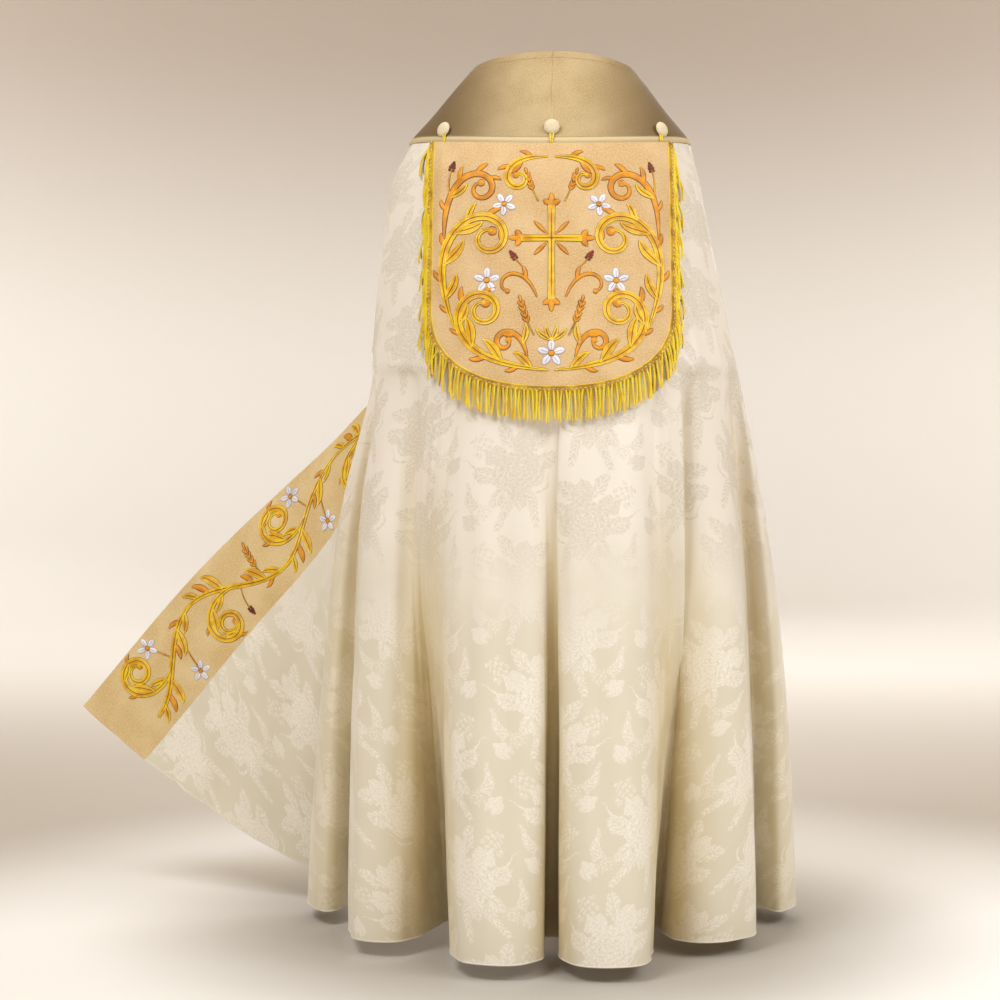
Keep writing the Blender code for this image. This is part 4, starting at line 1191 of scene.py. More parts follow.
# %% Hood shell
HOOD_COLUMNS, HOOD_ROWS = 110, 90
hood_points, hood_cut = [], []
for row in range(HOOD_ROWS + 1):
    for column in range(HOOD_COLUMNS + 1):
        x, bottom = hood_bottom(2 * column / HOOD_COLUMNS - 1)
        z = mix(hood_top_z(HOOD_SHIFT + x), bottom, row / HOOD_ROWS)
        hood_points.append(tuple(hood_point(x, z)))
        hood_cut.append((x, z))
shape = (HOOD_ROWS + 1, HOOD_COLUMNS + 1)
hood_points = np.array(hood_points).reshape(*shape, 3)
hood = shell("hood_rep", hood_points, np.array(hood_cut).reshape(*shape, 2), HOOD_CLOTH, REP_REVERSE)
keep(hood, replaces=["hood"])
print("hood area %.3f square metres" % grid_area(hood_points))

# %% [markdown]
# ## Bullion fringe
#
# Bullion fringe hangs from a woven heading. Each strand is two gold plies twisted together into
# a cord and turned back on itself at the end, so it stays round. The twist is real geometry
# here, because it is what makes a fringe glitter: every turn catches the light once.

# %% Points along the hood's rim
RIM_FINE_STEPS = 60
FRINGE_PITCH, FRINGE_LENGTH, FRINGE_SIDE_SPLAY = 0.0062, 0.047, 0.015


def hood_rim(pitch):
    top = hood_top_z(HOOD_HALF_WIDTH)
    shares = [step / RIM_FINE_STEPS for step in range(RIM_FINE_STEPS + 1)]
    line = [Vector((-HOOD_HALF_WIDTH, mix(top, HOOD_STRAIGHT_Z, share))) for share in shares[:-1]]
    line += [Vector(hood_bottom(2 * share - 1)) for share in shares]
    line += [Vector((HOOD_HALF_WIDTH, mix(HOOD_STRAIGHT_Z, top, share))) for share in shares[1:]]
    lengths = distances(line)
    count = round(lengths[-1] / pitch)
    points, index = [], 0
    for step in range(count + 1):
        target = lengths[-1] * step / count
        while index < len(line) - 2 and lengths[index + 1] < target:
            index += 1
        span = max(lengths[index + 1] - lengths[index], 1e-9)
        points.append(mix(line[index], line[index + 1], (target - lengths[index]) / span))
    return points


def rim_outward(points, index):
    along = tangent(points, index)
    return Vector((along.y, -along.x))


def uneven(number, *waves):
    """A sum of sine waves over a strand's number, each a size and a turn, so no two strands are alike."""
    return sum(size * math.sin(number * turn) for size, turn in waves)


# %% Braided heading
BRAID_STEP, BRAID_REPEAT, PLIES, PLY_RADIUS = 0.0016, 0.0105, 4, 0.00125
PLY_SWING, PLY_LIFT, PLY_WEAVE = 0.0032, 0.0007, 0.0009
EDGE_CORDS, EDGE_CORD_LIFT, EDGE_CORD_RADIUS = (0.0008, BRAID_WIDTH - 0.0006), 0.0004, 0.0009
fine_rim = hood_rim(BRAID_STEP)
fine_outward = [rim_outward(fine_rim, index) for index in range(len(fine_rim))]


def beside_rim(outs, lifts):
    """A path along the fine rim: how far outside it and how far off the cloth each point lies."""
    spots = [place + outward * out for place, outward, out in zip(fine_rim, fine_outward, outs)]
    return [hood_point(spot.x, spot.y, lift) for spot, lift in zip(spots, lifts)]


braid = empty_mesh()
for ply in range(PLIES):
    phases = [2 * math.pi * (index * BRAID_STEP / BRAID_REPEAT + ply / PLIES) for index in range(len(fine_rim))]
    path = beside_rim([HOOD_EDGE_GAP + BRAID_WIDTH / 2 + PLY_SWING * math.sin(phase) for phase in phases],
                      [PLY_LIFT + PLY_WEAVE * math.sin(2 * phase) for phase in phases])
    add_tube(braid, path, PLY_RADIUS, 6, up=BACK)
for edge in EDGE_CORDS:
    path = beside_rim([edge] * len(fine_rim), [EDGE_CORD_LIFT] * len(fine_rim))
    add_tube(braid, path, EDGE_CORD_RADIUS, 5, 1, up=BACK)
KNOT_PITCH, KNOT_LENGTH, KNOT_RADIUS = 0.0068, 0.0024, 0.0008
KNOT_TOP, KNOT_DROP, KNOT_SHARES = 0.0021, 0.0016, (-1, -0.5, 0, 0.5, 1)
knot_rim = hood_rim(KNOT_PITCH)
for index, place in enumerate(knot_rim):
    out = rim_outward(knot_rim, index)
    along = Vector((-out.y, out.x))
    middle = place + out * (BRAID_WIDTH * 0.6 + uneven(index, (0.0006, 2.1)))
    size = KNOT_LENGTH * (0.8 + uneven(index, (0.25, 1.3)))
    path = [hood_point(*(middle + along * size * share), KNOT_TOP - KNOT_DROP * abs(share))
            for share in KNOT_SHARES]
    add_tube(braid, path, KNOT_RADIUS, 5, 2, up=BACK)
heading = finish_mesh("fringe_braid", braid, [BRAID, BULLION, SILK_CREAM])
keep(heading, replaces=["fringe"])

# %% Twisted strands
TWIST_PITCH, TWIST_RADIUS, STRAND_PLY, STRAND_SIDES = 0.0090, 0.00080, 0.00106, 5
STEPS_PER_TURN = 7
TIP_FROM, TIP_THINNER = 0.93, 0.35      # a strand gets thinner over its last part


def strand_radius(share):
    return STRAND_PLY * (1 - TIP_THINNER * max(0, share - TIP_FROM) / (1 - TIP_FROM))


def strand_line(root, sideways, number, length_share, wander_share):
    wander = uneven(number, (0.0022, 2.4), (0.0012, 5.1)) * wander_share
    length = FRINGE_LENGTH * length_share * (1 + uneven(number, (0.05, 1.7), (0.02, 7.3)))
    stray = max(0.0, math.sin(number * 0.83 + 0.6)) ** 8        # a few strands hang further out
    swing = 0.28 + uneven(number, (0.18, 1.9)) + 0.60 * stray
    sway = uneven(number, (0.0016, 3.7))

    def line(share):
        out = sideways * FRINGE_SIDE_SPLAY * swing * (1 - (1 - share) ** 2.5)
        return root + Vector((out + wander * share + sway * math.sin(math.pi * share), -length * share))

    return line


def twisted(mesh, line, length, lift, start_turn):
    turns = length / TWIST_PITCH
    steps = max(int(turns * STEPS_PER_TURN), 4)
    for ply in (0, 1):
        path = []
        for step in range(steps + 1):
            share = step / steps
            place = line(share)
            angle = 2 * math.pi * turns * share + math.pi * ply + start_turn
            closing = min(1.0, (1 - share) * steps / 2)
            aside = TWIST_RADIUS * math.cos(angle) * closing
            path.append(hood_point(place.x + aside, place.y, lift + TWIST_RADIUS * math.sin(angle) * closing))
        add_tube(mesh, path, strand_radius, STRAND_SIDES, up=RIGHT)


STEEP = 0.6                     # where the rim is this steep, the under row gets the darker bullion as painted shade
ROOT_OUT = BRAID_WIDTH - 0.0015         # the strands start under the heading
STRAND_LIFT, UNDER_LIFT, UNDER_RADIUS, UNDER_STEPS = 0.0012, -0.0014, 0.0010, 9
rim = hood_rim(FRINGE_PITCH)
front_row, back_row = empty_mesh(), empty_mesh()
for number in range(len(rim) - 1):
    outward = rim_outward(rim, number)
    root = mix(rim[number], rim[number + 1], 0.5) + outward * ROOT_OUT
    line = strand_line(root, outward.x, number, 1.0, 1.0)
    twisted(front_row, line, FRINGE_LENGTH, STRAND_LIFT + uneven(number, (0.0010, 2.7)), number * 0.9)
    under = strand_line(rim[number] + outward * ROOT_OUT, outward.x, number + 0.5, 0.97, 0.6)
    path = [hood_point(*under(step / UNDER_STEPS), UNDER_LIFT) for step in range(UNDER_STEPS + 1)]
    # Material 1 is the darker bullion, painted shade for the steep sides.
    add_tube(back_row, path, UNDER_RADIUS, 5, int(abs(outward.x) > STEEP), up=RIGHT)
keep(finish_mesh("fringe_strands", front_row, [BULLION]))
keep(finish_mesh("fringe_under_strands", back_row, [BULLION, BULLION_IN_PAINTED_SHADE]))

# %% [markdown]
# ## Buttons and loops
#
# Three cloth-covered buttons carry the hood. The cover is gathered under the rim, so fine
# pleats run over the edge. Each loop is a gold cord of two plies that comes up from the hood's
# top edge, passes round the button's shank and goes down again.

# %% Where the buttons sit
BUTTON_RADIUS, BUTTON_CAP, BUTTON_SHANK_RADIUS, BUTTON_SHANK = 0.0125, 0.006, 0.004, 0.0042
BUTTON_TIP = math.radians(20)     # the loop's pull tips the button down
BUTTONS = (("left", -0.171, 0.90), ("centre", -0.002, 0.865), ("right", 0.170, 0.895))


def yoke_frame(share, down):
    point = yoke_point(share, down)
    across = (yoke_point(share + YOKE_STEP, down) - yoke_point(share - YOKE_STEP, down)).normalized()
    slope = yoke_point(share, down - YOKE_STEP) - yoke_point(share, down + YOKE_STEP)
    outward = across.cross(slope).normalized()
    return point + outward * CLOTH / 2, across, outward.cross(across), outward


# %% Covered buttons
PROFILE = ((0.00, 1.00), (0.25, 0.985), (0.50, 0.93), (0.70, 0.82), (0.85, 0.64), (0.95, 0.42),
           (1.00, 0.22), (0.985, 0.08), (0.93, 0.0), (0.60, 0.0), (0.32, 0.0), (0.32, -0.70))
BUTTON_SIDES, PLEATS, PLEAT_DEPTH = 60, 15, 0.020
PLEATS_FROM, PLEATS_RISE = 0.55, 0.4    # the pleats grow over this part of the radius


def rim_share(reach, height):
    """How strongly the cover is pleated: not at all on the underside."""
    if height > 0.2 or height >= 0 and reach > 0.9:
        return clamp((reach - PLEATS_FROM) / PLEATS_RISE)
    return 0


for name, x, down in BUTTONS:
    point, across, up, outward = yoke_frame(yoke_share_at(x, down), down)
    tip = Quaternion(across, BUTTON_TIP)
    up, outward = tip @ up, tip @ outward
    base = point + outward * (SEAM_GAP + BUTTON_SHANK)
    mesh = empty_mesh()
    for reach, height in PROFILE:
        for side in range(BUTTON_SIDES):
            angle = 2 * math.pi * side / BUTTON_SIDES
            size = BUTTON_RADIUS * reach * (1 + PLEAT_DEPTH * math.cos(angle * PLEATS) * rim_share(reach, height))
            mesh["points"].append(on_circle(base, across, up, size, angle) + outward * BUTTON_CAP * height)
            mesh["uv"].append((size * math.cos(angle), size * math.sin(angle)))
    mesh["faces"] = [(a, d, c, b) for a, b, c, d in ring_faces(0, len(PROFILE), BUTTON_SIDES)]
    mesh["faces"].append(tuple(range((len(PROFILE) - 1) * BUTTON_SIDES, len(PROFILE) * BUTTON_SIDES)))
    mesh["material"] = [0] * len(mesh["faces"])
    button = finish_mesh("button_%s_covered" % name, mesh, [BUTTON_CLOTH])
    keep(button, replaces=["button_" + name])

# %% Cord loops
LOOP_RADIUS, LOOP_LIFT, LOOP_LEG_SPREAD, LOOP_END_GAP = 0.0011, 0.0009, 0.0014, 0.0010
LOOP_PLY, LOOP_TWIST = 0.00075, 0.0042
LOOP_TURN = range(-30, 211, 24)         # degrees round the shank


def loop_path(share, down):
    lift = LOOP_RADIUS + LOOP_LIFT
    point, across, up, outward = yoke_frame(share, down)
    around = BUTTON_SHANK_RADIUS + LOOP_RADIUS + SEAM_GAP
    turn = [on_circle(point + outward * lift, across, up, around, math.radians(degrees)) for degrees in LOOP_TURN]
    edge_share = yoke_share_at(point.x, 1.0)
    edge, edge_across, _, _ = yoke_frame(edge_share, 1.0)
    degrees = edge_share * FRONT_EDGE_ANGLE
    edge += outward_at(degrees, yoke_edge_z(degrees)) * (lift + CLOTH / 4)
    low = edge.copy()
    low.z = hood_top_z(edge.x) + LOOP_END_GAP
    leg, aside = (low, mix(low, edge, 0.5), edge), edge_across * LOOP_LEG_SPREAD
    return [spot + aside for spot in leg] + turn + [spot - aside for spot in reversed(leg)]


for name, x, down in BUTTONS:
    stops = loop_path(yoke_share_at(x, down), down)
    centre_line = spline(stops, [5] * (len(stops) - 1))
    mesh = empty_mesh()
    for ply in (0, 1):
        path = []
        for index, (place, distance) in enumerate(zip(centre_line, distances(centre_line))):
            angle = 2 * math.pi * distance / LOOP_TWIST + math.pi * ply
            path.append(on_circle(place, *axes_at(centre_line, index, BACK), LOOP_PLY * 0.8, angle))
        add_tube(mesh, path, LOOP_PLY, 6, up=BACK)
    keep(finish_mesh("loop_%s_cord" % name, mesh, [BULLION]), replaces=["loop_" + name])

# %% [markdown]
# ## The chest tab
#
# The tab, or morse, holds the two fronts together on the chest. It is plain rep, laid on both
# bands, so its points are the bands' own points moved out, with a short bridge between them.

# %% Morse
MORSE_REACH, MORSE_TOP, MORSE_BOTTOM, MORSE_CLEARANCE = 0.055, 0.012, 0.048, 0.0008
MORSE_ROWS, MORSE_COLUMNS = 12, 12


def walk_in(row, distance):
    for a, b in zip(row, row[1:]):
        step = (b - a).length
        if distance <= step:
            return mix(a, b, distance / step)
        distance -= step
    return row[-1]


rows = []
for step in range(MORSE_ROWS + 1):
    row = spline(stations(mix(MORSE_TOP, MORSE_BOTTOM, step / MORSE_ROWS)), counts)
    reaches = [MORSE_REACH * (1 - step / MORSE_COLUMNS) for step in range(MORSE_COLUMNS + 1)]
    left_side = [walk_in(row, reach) for reach in reaches]
    right_side = [walk_in(list(reversed(row)), reach) for reach in reversed(reaches)]
    bridge = [mix(left_side[-1], right_side[0], share) for share in (0.2, 0.4, 0.6, 0.8)]
    rows.append([tuple(point) for point in left_side + bridge + right_side])
morse_points = np.array(rows)
morse_out = np.cross(np.gradient(morse_points, axis=1), np.gradient(morse_points, axis=0))
morse_out /= np.linalg.norm(morse_out, axis=2, keepdims=True)
if morse_out[0, 0, 1] < 0:
    morse_out = -morse_out
morse_points = morse_points + morse_out * (LIFT + MORSE_CLEARANCE)
morse_run = np.stack([run_lengths(morse_points, 1), run_lengths(morse_points, 0)], axis=2)
morse = shell("morse_rep", morse_points, morse_run, REP_REVERSE, BAND_CLOTH)
keep(morse, replaces=["morse"])

# %% [markdown]
# ## Embroidery: the drawing
#
# The hood and the bands carry scrolls of satin stitch: long stems that wind into a spiral, with
# hooked leaves, five-petalled flowers, ears of wheat and small berries. This is a design of the
# lesson's own, from the common stock of scrollwork. Each stem is one row of a table: where it
# starts, which way it heads, and how sharply it bends at its start and at its end.

# %% Strokes
# x, y and length in millimetres; heading in degrees; bends in degrees a millimetre, and
# gather: above 1 the bend comes late, as in a spiral. widths: at the start, middle and end.
Stroke = namedtuple("Stroke", "path widths silk")
Scroll = namedtuple("Scroll", "x y heading length bend_start bend_end gather widths silk leaves eye")
STEP_MM = 2.0
LEAF_SIZE = 1.45
LEAF_LEANS, LEAF_HOOK, LEAF_WIDTH = 40, 100.8, 0.29     # degrees from the stem, degrees, share of its length
SHORT_LEAF = 22                 # millimetres; shorter leaves are amber
PETALS, PETAL_FROM, PETAL_LENGTH = 5, 0.26, 0.78
BERRIES = ((0, -2.6), (0, 2.6), (4.6, -2.9), (4.6, 2.9), (4.8, 0), (8.8, -1.6), (8.8, 1.6), (12.6, 0))
BERRY = 2.2


def moved(x, y, heading, distance):
    angle = math.radians(heading)
    return x + distance * math.cos(angle), y + distance * math.sin(angle)


def trace(x, y, heading, length, bend_start=0, bend_end=0, gather=1.0):
    steps = max(int(length / STEP_MM), 4)
    size = length / steps
    path = [(x, y)]
    for step in range(steps):
        share = (step + 0.5) / steps
        heading += size * mix(bend_start, bend_end, share ** gather)
        path.append(moved(*path[-1], heading, size))
    return path


def heading_at(path, share):
    index = min(max(int(share * (len(path) - 1)), 1), len(path) - 2)
    (x0, y0), (x1, y1) = path[index - 1], path[index + 1]
    return path[index], math.degrees(math.atan2(y1 - y0, x1 - x0))


def disc(x, y, size, silk):
    path = [(x - size * math.cos(math.pi * step / 8), y) for step in range(9)]
    return Stroke(path, (0.1, 2 * size, 0.1), silk)


def hooked_leaf(x, y, heading, side, length, silk):
    """A leaf that leaves the stem, swells, and hooks back at its tip."""
    length *= LEAF_SIZE
    path = trace(x, y, heading + LEAF_LEANS * side, length, 0.3 * side, -LEAF_HOOK * side / length, 1.6)
    return Stroke(path, (0.8, LEAF_WIDTH * length, 0.5), silk)


def scroll_strokes(scroll):
    path = trace(*scroll[:7])
    strokes = [Stroke(path, scroll.widths, scroll.silk)]
    for share, side, length in scroll.leaves:
        (x, y), heading = heading_at(path, share)
        strokes.append(hooked_leaf(x, y, heading, side, length, "amber" if length < SHORT_LEAF else "gold"))
    if scroll.eye:
        strokes.append(disc(*path[-1], scroll.eye, "amber"))
    return strokes


def flower(x, y, size, turn):
    """Five white petals round an amber knot."""
    strokes = []
    for petal in range(PETALS):
        heading = turn + petal * 360 / PETALS
        petal_line = trace(*moved(x, y, heading, PETAL_FROM * size), heading, size * PETAL_LENGTH)
        strokes.append(Stroke(petal_line, (0.22 * size, 0.56 * size, 0.18 * size), "white"))
    strokes.append(disc(x, y, 0.22 * size, "amber"))
    return strokes


def wheat(x, y, heading, length):
    """An ear of wheat: a bent stalk with a pair of grains at every step, and one at the tip."""
    stalk = trace(x, y, heading, length, 0.25, 0.25)
    strokes = [Stroke(stalk, (1.4, 1.2, 1.0), "gold")]
    for number in range(4):
        place, way = heading_at(stalk, 0.42 + 0.15 * number)
        for side in (-1, 1):
            grain = trace(*place, way + 28 * side, length * 0.20, 0, -1.2 * side)
            strokes.append(Stroke(grain, (0.6, 4.2, 0.5), "amber"))
    tip = trace(*stalk[-1], heading_at(stalk, 1.0)[1], length * 0.2)
    return strokes + [Stroke(tip, (0.6, 4.4, 0.5), "amber")]


def berry_sprig(x, y, heading, length):
    """Dark berries at the end of a thin stalk."""
    stalk = trace(x, y, heading, length, 0.5, 0.9)
    way = heading_at(stalk, 1.0)[1]
    berry_places = [moved(*moved(*stalk[-1], way, ahead), way + 90, aside) for ahead, aside in BERRIES]
    return [Stroke(stalk, (1.5, 1.2, 1.0), "gold")] + [disc(*place, BERRY, "red") for place in berry_places]


def mirrored(strokes):
    return [Stroke([(-x, y) for x, y in stroke.path], stroke.widths, stroke.silk) for stroke in strokes]


# %% [markdown]
# ### The hood's design
#
# The right half is drawn and the left half is its mirror image. A plain cross with budded ends
# stands in the middle. Two large scrolls rise from the bottom along the hood's edge.

# %% Right half of the hood, in millimetres from the middle of the hood
HOOD_MIDDLE_Z = -0.262
HOOD_SCROLLS = (
    Scroll(5, -172, 6, 352, 0.08, 4.3, 1.85, (2, 12.5, 3.6), "gold",
           ((0.07, 1, 26), (0.13, -1, 16), (0.20, 1, 32), (0.27, -1, 20), (0.35, 1, 34), (0.42, -1, 16),
            (0.47, 1, 24), (0.56, -1, 20), (0.66, -1, 16)), 7.5),
    Scroll(146, -108, 68, 360, 0.17, 4.2, 2.3, (2, 12.5, 3.6), "gold",
           ((0.08, -1, 14), (0.14, 1, 30), (0.22, -1, 17), (0.29, 1, 36), (0.37, -1, 18), (0.44, 1, 34),
            (0.52, -1, 22), (0.60, -1, 20), (0.69, 1, 16)), 7.0),
    Scroll(164, 36, 90, 226, 0.1, 5.6, 1.9, (1.8, 10, 3), "amber",
           ((0.20, -1, 14), (0.30, 1, 24), (0.42, -1, 18), (0.54, -1, 18), (0.64, -1, 15)), 5.5),
    Scroll(36, -152, 78, 112, -0.2, -7.4, 1.3, (1.8, 9, 3), "amber",
           ((0.20, 1, 22), (0.36, -1, 14)), 4.5),
    Scroll(6, 163, 2, 142, -0.2, -7.0, 1.6, (1.8, 10.5, 3), "gold",
           ((0.16, 1, 16), (0.28, -1, 20), (0.42, 1, 16)), 5.0),
    Scroll(22, -58, 70, 96, -0.4, -5.5, 1.5, (1.4, 5.5, 2.2), "amber", ((0.35, 1, 15),), 3.6),
)
design_right = [stroke for scroll in HOOD_SCROLLS for stroke in scroll_strokes(scroll)]
design_right += flower(98, -32, 19, 20)
design_right += flower(72, 88, 17, 60)
design_right += wheat(26, -118, 62, 56)
design_right += wheat(20, 92, 62, 48)
design_right += berry_sprig(157, 106, 80, 40)
design_right += berry_sprig(40, -14, 40, 22)
for turn, y in ((45, 42), (-45, 26)):
    design_right.append(Stroke(trace(8, y, turn, 26), (1, 6, 0.5), "amber"))

cross_strokes = []
for x0, y0, x1, y1 in ((0, -62, 0, 86), (-46, 34, 46, 34)):
    length = math.hypot(x1 - x0, y1 - y0)
    heading = math.degrees(math.atan2(y1 - y0, x1 - x0))
    cross_strokes.append(Stroke(trace(x0, y0, heading, length), (10, 9, 10), "gold"))
for x, y, heading in ((0, 86, 90), (0, -62, -90), (46, 34, 0), (-46, 34, 180)):
    for turn, length in ((-58, 15), (0, 19), (58, 15)):
        cross_strokes.append(Stroke(trace(x, y, heading + turn, length), (3, 9, 2), "amber"))
cross_strokes.append(disc(0, 34, 9, "amber"))

centre_strokes = flower(0, -146, 20, 90)
for turn, length in ((-62, 30), (-30, 26), (30, 26), (62, 30)):
    blade = trace(0, -126, 90 + turn, length, 0, 2.0 if turn < 0 else -2.0)
    centre_strokes.append(Stroke(blade, (1, 7, 0.5), "gold"))
HOOD_DESIGN = design_right + mirrored(design_right) + cross_strokes + centre_strokes
print("hood design:", len(HOOD_DESIGN), "strokes")

# %% [markdown]
# ### The bands' design
#
# Along each band runs a vine: one wavy stem, with a large scroll in every bend and a flower, an
# ear of wheat or a berry sprig beside it. One bend is drawn and then turned over for the next,
# which is how borders of this kind are set out.

# %% One bend of the vine, and the whole band
# Millimetres: x runs down the band, y across it from the middle, towards the front edge.
BEND, SWING, BENDS, BEND_STEPS = 180.0, 43.0, 6, 60
BEND_LEAVES = ((0.08, -1, 26, "gold"), (0.15, 1, 18, "amber"), (0.24, -1, 34, "gold"), (0.36, -1, 22, "amber"),
               (0.64, -1, 34, "gold"), (0.76, -1, 26, "amber"), (0.88, -1, 22, "gold"))
FLOWER_STALK = (2.2, 1.8, 1.4)
BEND_SCROLL = Scroll(84, 2, -34, 296, 0.55, 4.3, 1.35, (2.5, 12, 3.4), "gold",
                     ((0.13, 1, 24), (0.24, 1, 30), (0.34, -1, 14), (0.46, 1, 22), (0.56, -1, 16)), 6.5)


def vine_bend(start, side, number):
    stem = [(BEND * step / BEND_STEPS, SWING * math.cos(math.pi * step / BEND_STEPS))
            for step in range(BEND_STEPS + 1)]
    strokes = [Stroke(stem, (6, 9, 6), "gold")]
    for share, way, length, silk in BEND_LEAVES:
        place, heading = heading_at(stem, share)
        strokes.append(hooked_leaf(*place, heading, way, length, silk))
    strokes += scroll_strokes(BEND_SCROLL)
    if number % 2:
        strokes.append(Stroke(trace(84, 4, 68, 44), FLOWER_STALK, "gold"))
        strokes += flower(104, 51, 18, 30)
        if number < BENDS - 1:
            strokes += wheat(222, -26, 84, 66)
    else:
        strokes.append(Stroke(trace(228, -24, 76, 70), FLOWER_STALK, "gold"))
        strokes += flower(246, 50, 18, 10)
        strokes += berry_sprig(86, 4, 56, 44)
    return [Stroke([(start + x, side * y) for x, y in stroke.path], stroke.widths, stroke.silk)
            for stroke in strokes]


def vine(start):
    return [stroke for number in range(BENDS)
            for stroke in vine_bend(start + BEND * number, 1 if number % 2 else -1, number)]

# %% [markdown]
# ## Embroidery: the stitches
#
# Satin stitch is worked over a padding, so each shape is a low dome of thread. Under it goes a
# brown cord outline, a little wider and lower, and the large shapes get a bright cord along
# each edge and a brown vein. The domes could be painted on, but the raised ones catch light.

# %% A dome of thread along a stroke
DOME = ((-1.0, -0.25), (-0.86, 0.42), (-0.5, 0.86), (0.0, 1.0), (0.5, 0.86), (0.86, 0.42), (1.0, -0.25))
LOW_DOME = ((-1.0, -0.4), (-0.8, 0.8), (0.8, 0.8), (1.0, -0.4))
SATIN_HEIGHT, OUTLINE_HEIGHT, OUTLINE_EXTRA = 1.15, 0.45, 0.65
CORD_WIDTH, CORD_HEIGHT, VEIN_WIDTH = 1.7, 0.75, 1.2
CORD_LIFT, VEIN_HEIGHT = 0.70, 0.30
CORDED_WIDTH = 6.8              # golden shapes at least this wide get cords and a vein
PETAL_WIDTH, PETAL_VEIN_WIDTH, PETAL_VEIN_HEIGHT = 6.0, 0.9, 0.25
LAYERS, LAYERS_APART = 9, 0.05  # shapes that cross each other lie on different layers


def width_at(widths, share):
    start, middle, end = widths
    base = mix(start, end, share)
    return base + (middle - base) * math.sin(math.pi * share) ** 0.8


def vein_half(share):
    return VEIN_WIDTH / 2 * math.sin(math.pi * share) ** 0.5 + 0.05


def side_of(path, index):
    (x0, y0), (x1, y1) = path[max(index - 1, 0)], path[min(index + 1, len(path) - 1)]
    length = max(math.hypot(x1 - x0, y1 - y0), 1e-6)
    return -(y1 - y0) / length, (x1 - x0) / length


def add_dome(mesh, path, half_width_at, profile, height, lift, on_cloth):
    start, run = len(mesh["points"]), 0.0
    for index, (x, y) in enumerate(path):
        side_x, side_y = side_of(path, index)
        half = half_width_at(index / (len(path) - 1))
        if index:
            run += math.hypot(x - path[index - 1][0], y - path[index - 1][1])
        for across, up in profile:
            mesh["points"].append(on_cloth(x + side_x * half * across, y + side_y * half * across,
                                           (lift + height * up) / 1000))
            mesh["uv"].append((run / 1000, half * across / 1000))
    count = len(profile)
    for index in range(len(path) - 1):
        for step in range(count - 1):
            a = start + index * count + step
            mesh["faces"].append((a, a + count, a + count + 1, a + 1))
            mesh["material"].append(0)


def shifted(path, aside):
    points = []
    for index, (x, y) in enumerate(path):
        side_x, side_y = side_of(path, index)
        offset = aside(index / (len(path) - 1))
        points.append((x + side_x * offset, y + side_y * offset))
    return points


def embroider(strokes, on_cloth, meshes):
    for number, stroke in enumerate(strokes):
        lift = LAYERS_APART * (number % LAYERS)
        widest = max(stroke.widths)

        def half(share):
            return width_at(stroke.widths, share) / 2

        outline = "grey" if stroke.silk == "white" else "brown"
        add_dome(meshes[outline], stroke.path, lambda share: half(share) + OUTLINE_EXTRA, LOW_DOME,
                 OUTLINE_HEIGHT, lift, on_cloth)
        add_dome(meshes[stroke.silk], stroke.path, half, DOME, SATIN_HEIGHT, lift, on_cloth)
        if stroke.silk == "gold" and widest >= CORDED_WIDTH:
            for side in (-1, 1):
                edge = shifted(stroke.path, lambda share: side * max(half(share) - CORD_WIDTH / 2, 0))
                add_dome(meshes["bright"], edge, lambda share: CORD_WIDTH / 2, LOW_DOME, CORD_HEIGHT,
                         lift + CORD_LIFT, on_cloth)
            add_dome(meshes["brown"], stroke.path[2:-2], vein_half, LOW_DOME, VEIN_HEIGHT, lift + SATIN_HEIGHT,
                     on_cloth)
        if stroke.silk == "white" and widest > PETAL_WIDTH:
            add_dome(meshes["grey"], stroke.path[:-2], lambda share: PETAL_VEIN_WIDTH / 2, LOW_DOME,
                     PETAL_VEIN_HEIGHT, lift + SATIN_HEIGHT, on_cloth)


# %% Where each drawing lies
SILKS = {"gold": SILK_GOLD, "bright": SILK_BRIGHT, "amber": SILK_AMBER, "red": SILK_RED, "white": SILK_WHITE,
         "grey": SILK_GREY, "brown": SILK_BROWN}
BAND_MARGIN = 0.0700


def on_hood(x, y, lift):
    return hood_point(x / 1000, HOOD_MIDDLE_Z + y / 1000, CLOTH / 2 + lift)


def on_band(first, last, front):
    """Millimetres on a band, made into a place on the creased cloth between columns first and last."""
    middle = (first + last) // 2
    inner = first if front == last else last

    def place(x, y, lift):
        across = min(max(y / 1000, -BAND_MARGIN), BAND_MARGIN) + ORPHREY_WIDTH / 2
        row = float(np.interp(x / 1000, down_the_column[:, middle], np.arange(creased.shape[0])))
        top = min(int(row), creased.shape[0] - 2)
        reaches = np.abs(round_the_row[top, first:last + 1] - round_the_row[top, inner])
        reaches = reaches / reaches.max() * ORPHREY_WIDTH
        columns = np.arange(first, last + 1)
        if reaches[0] > reaches[-1]:
            reaches, columns = reaches[::-1], columns[::-1]
        column = float(np.interp(across, reaches, columns))
        left = min(int(column), creased.shape[1] - 2)
        s, t = row - top, column - left
        weights = ((top, left, (1 - s) * (1 - t)), (top + 1, left, s * (1 - t)),
                   (top, left + 1, (1 - s) * t), (top + 1, left + 1, s * t))
        point = sum(creased[r, c] * w for r, c, w in weights)
        out = sum(creased_normals[r, c] * w for r, c, w in weights)
        return Vector(point + out * (CLOTH / 2 + lift))

    return place


VINE_START = 40                 # millimetres below the top of the band
HOOD_PIECES = {silk: empty_mesh() for silk in SILKS}
BAND_PIECES = {silk: empty_mesh() for silk in SILKS}
embroider(HOOD_DESIGN, on_hood, HOOD_PIECES)
embroider(vine(VINE_START), on_band(0, left_band, 0), BAND_PIECES)
embroider(vine(VINE_START), on_band(right_band, last_column, last_column), BAND_PIECES)
for place, meshes in (("hood", HOOD_PIECES), ("bands", BAND_PIECES)):
    for silk, mesh in meshes.items():
        if mesh["faces"]:
            keep(finish_mesh("embroidery_%s_%s" % (place, silk), mesh, [SILKS[silk]]))

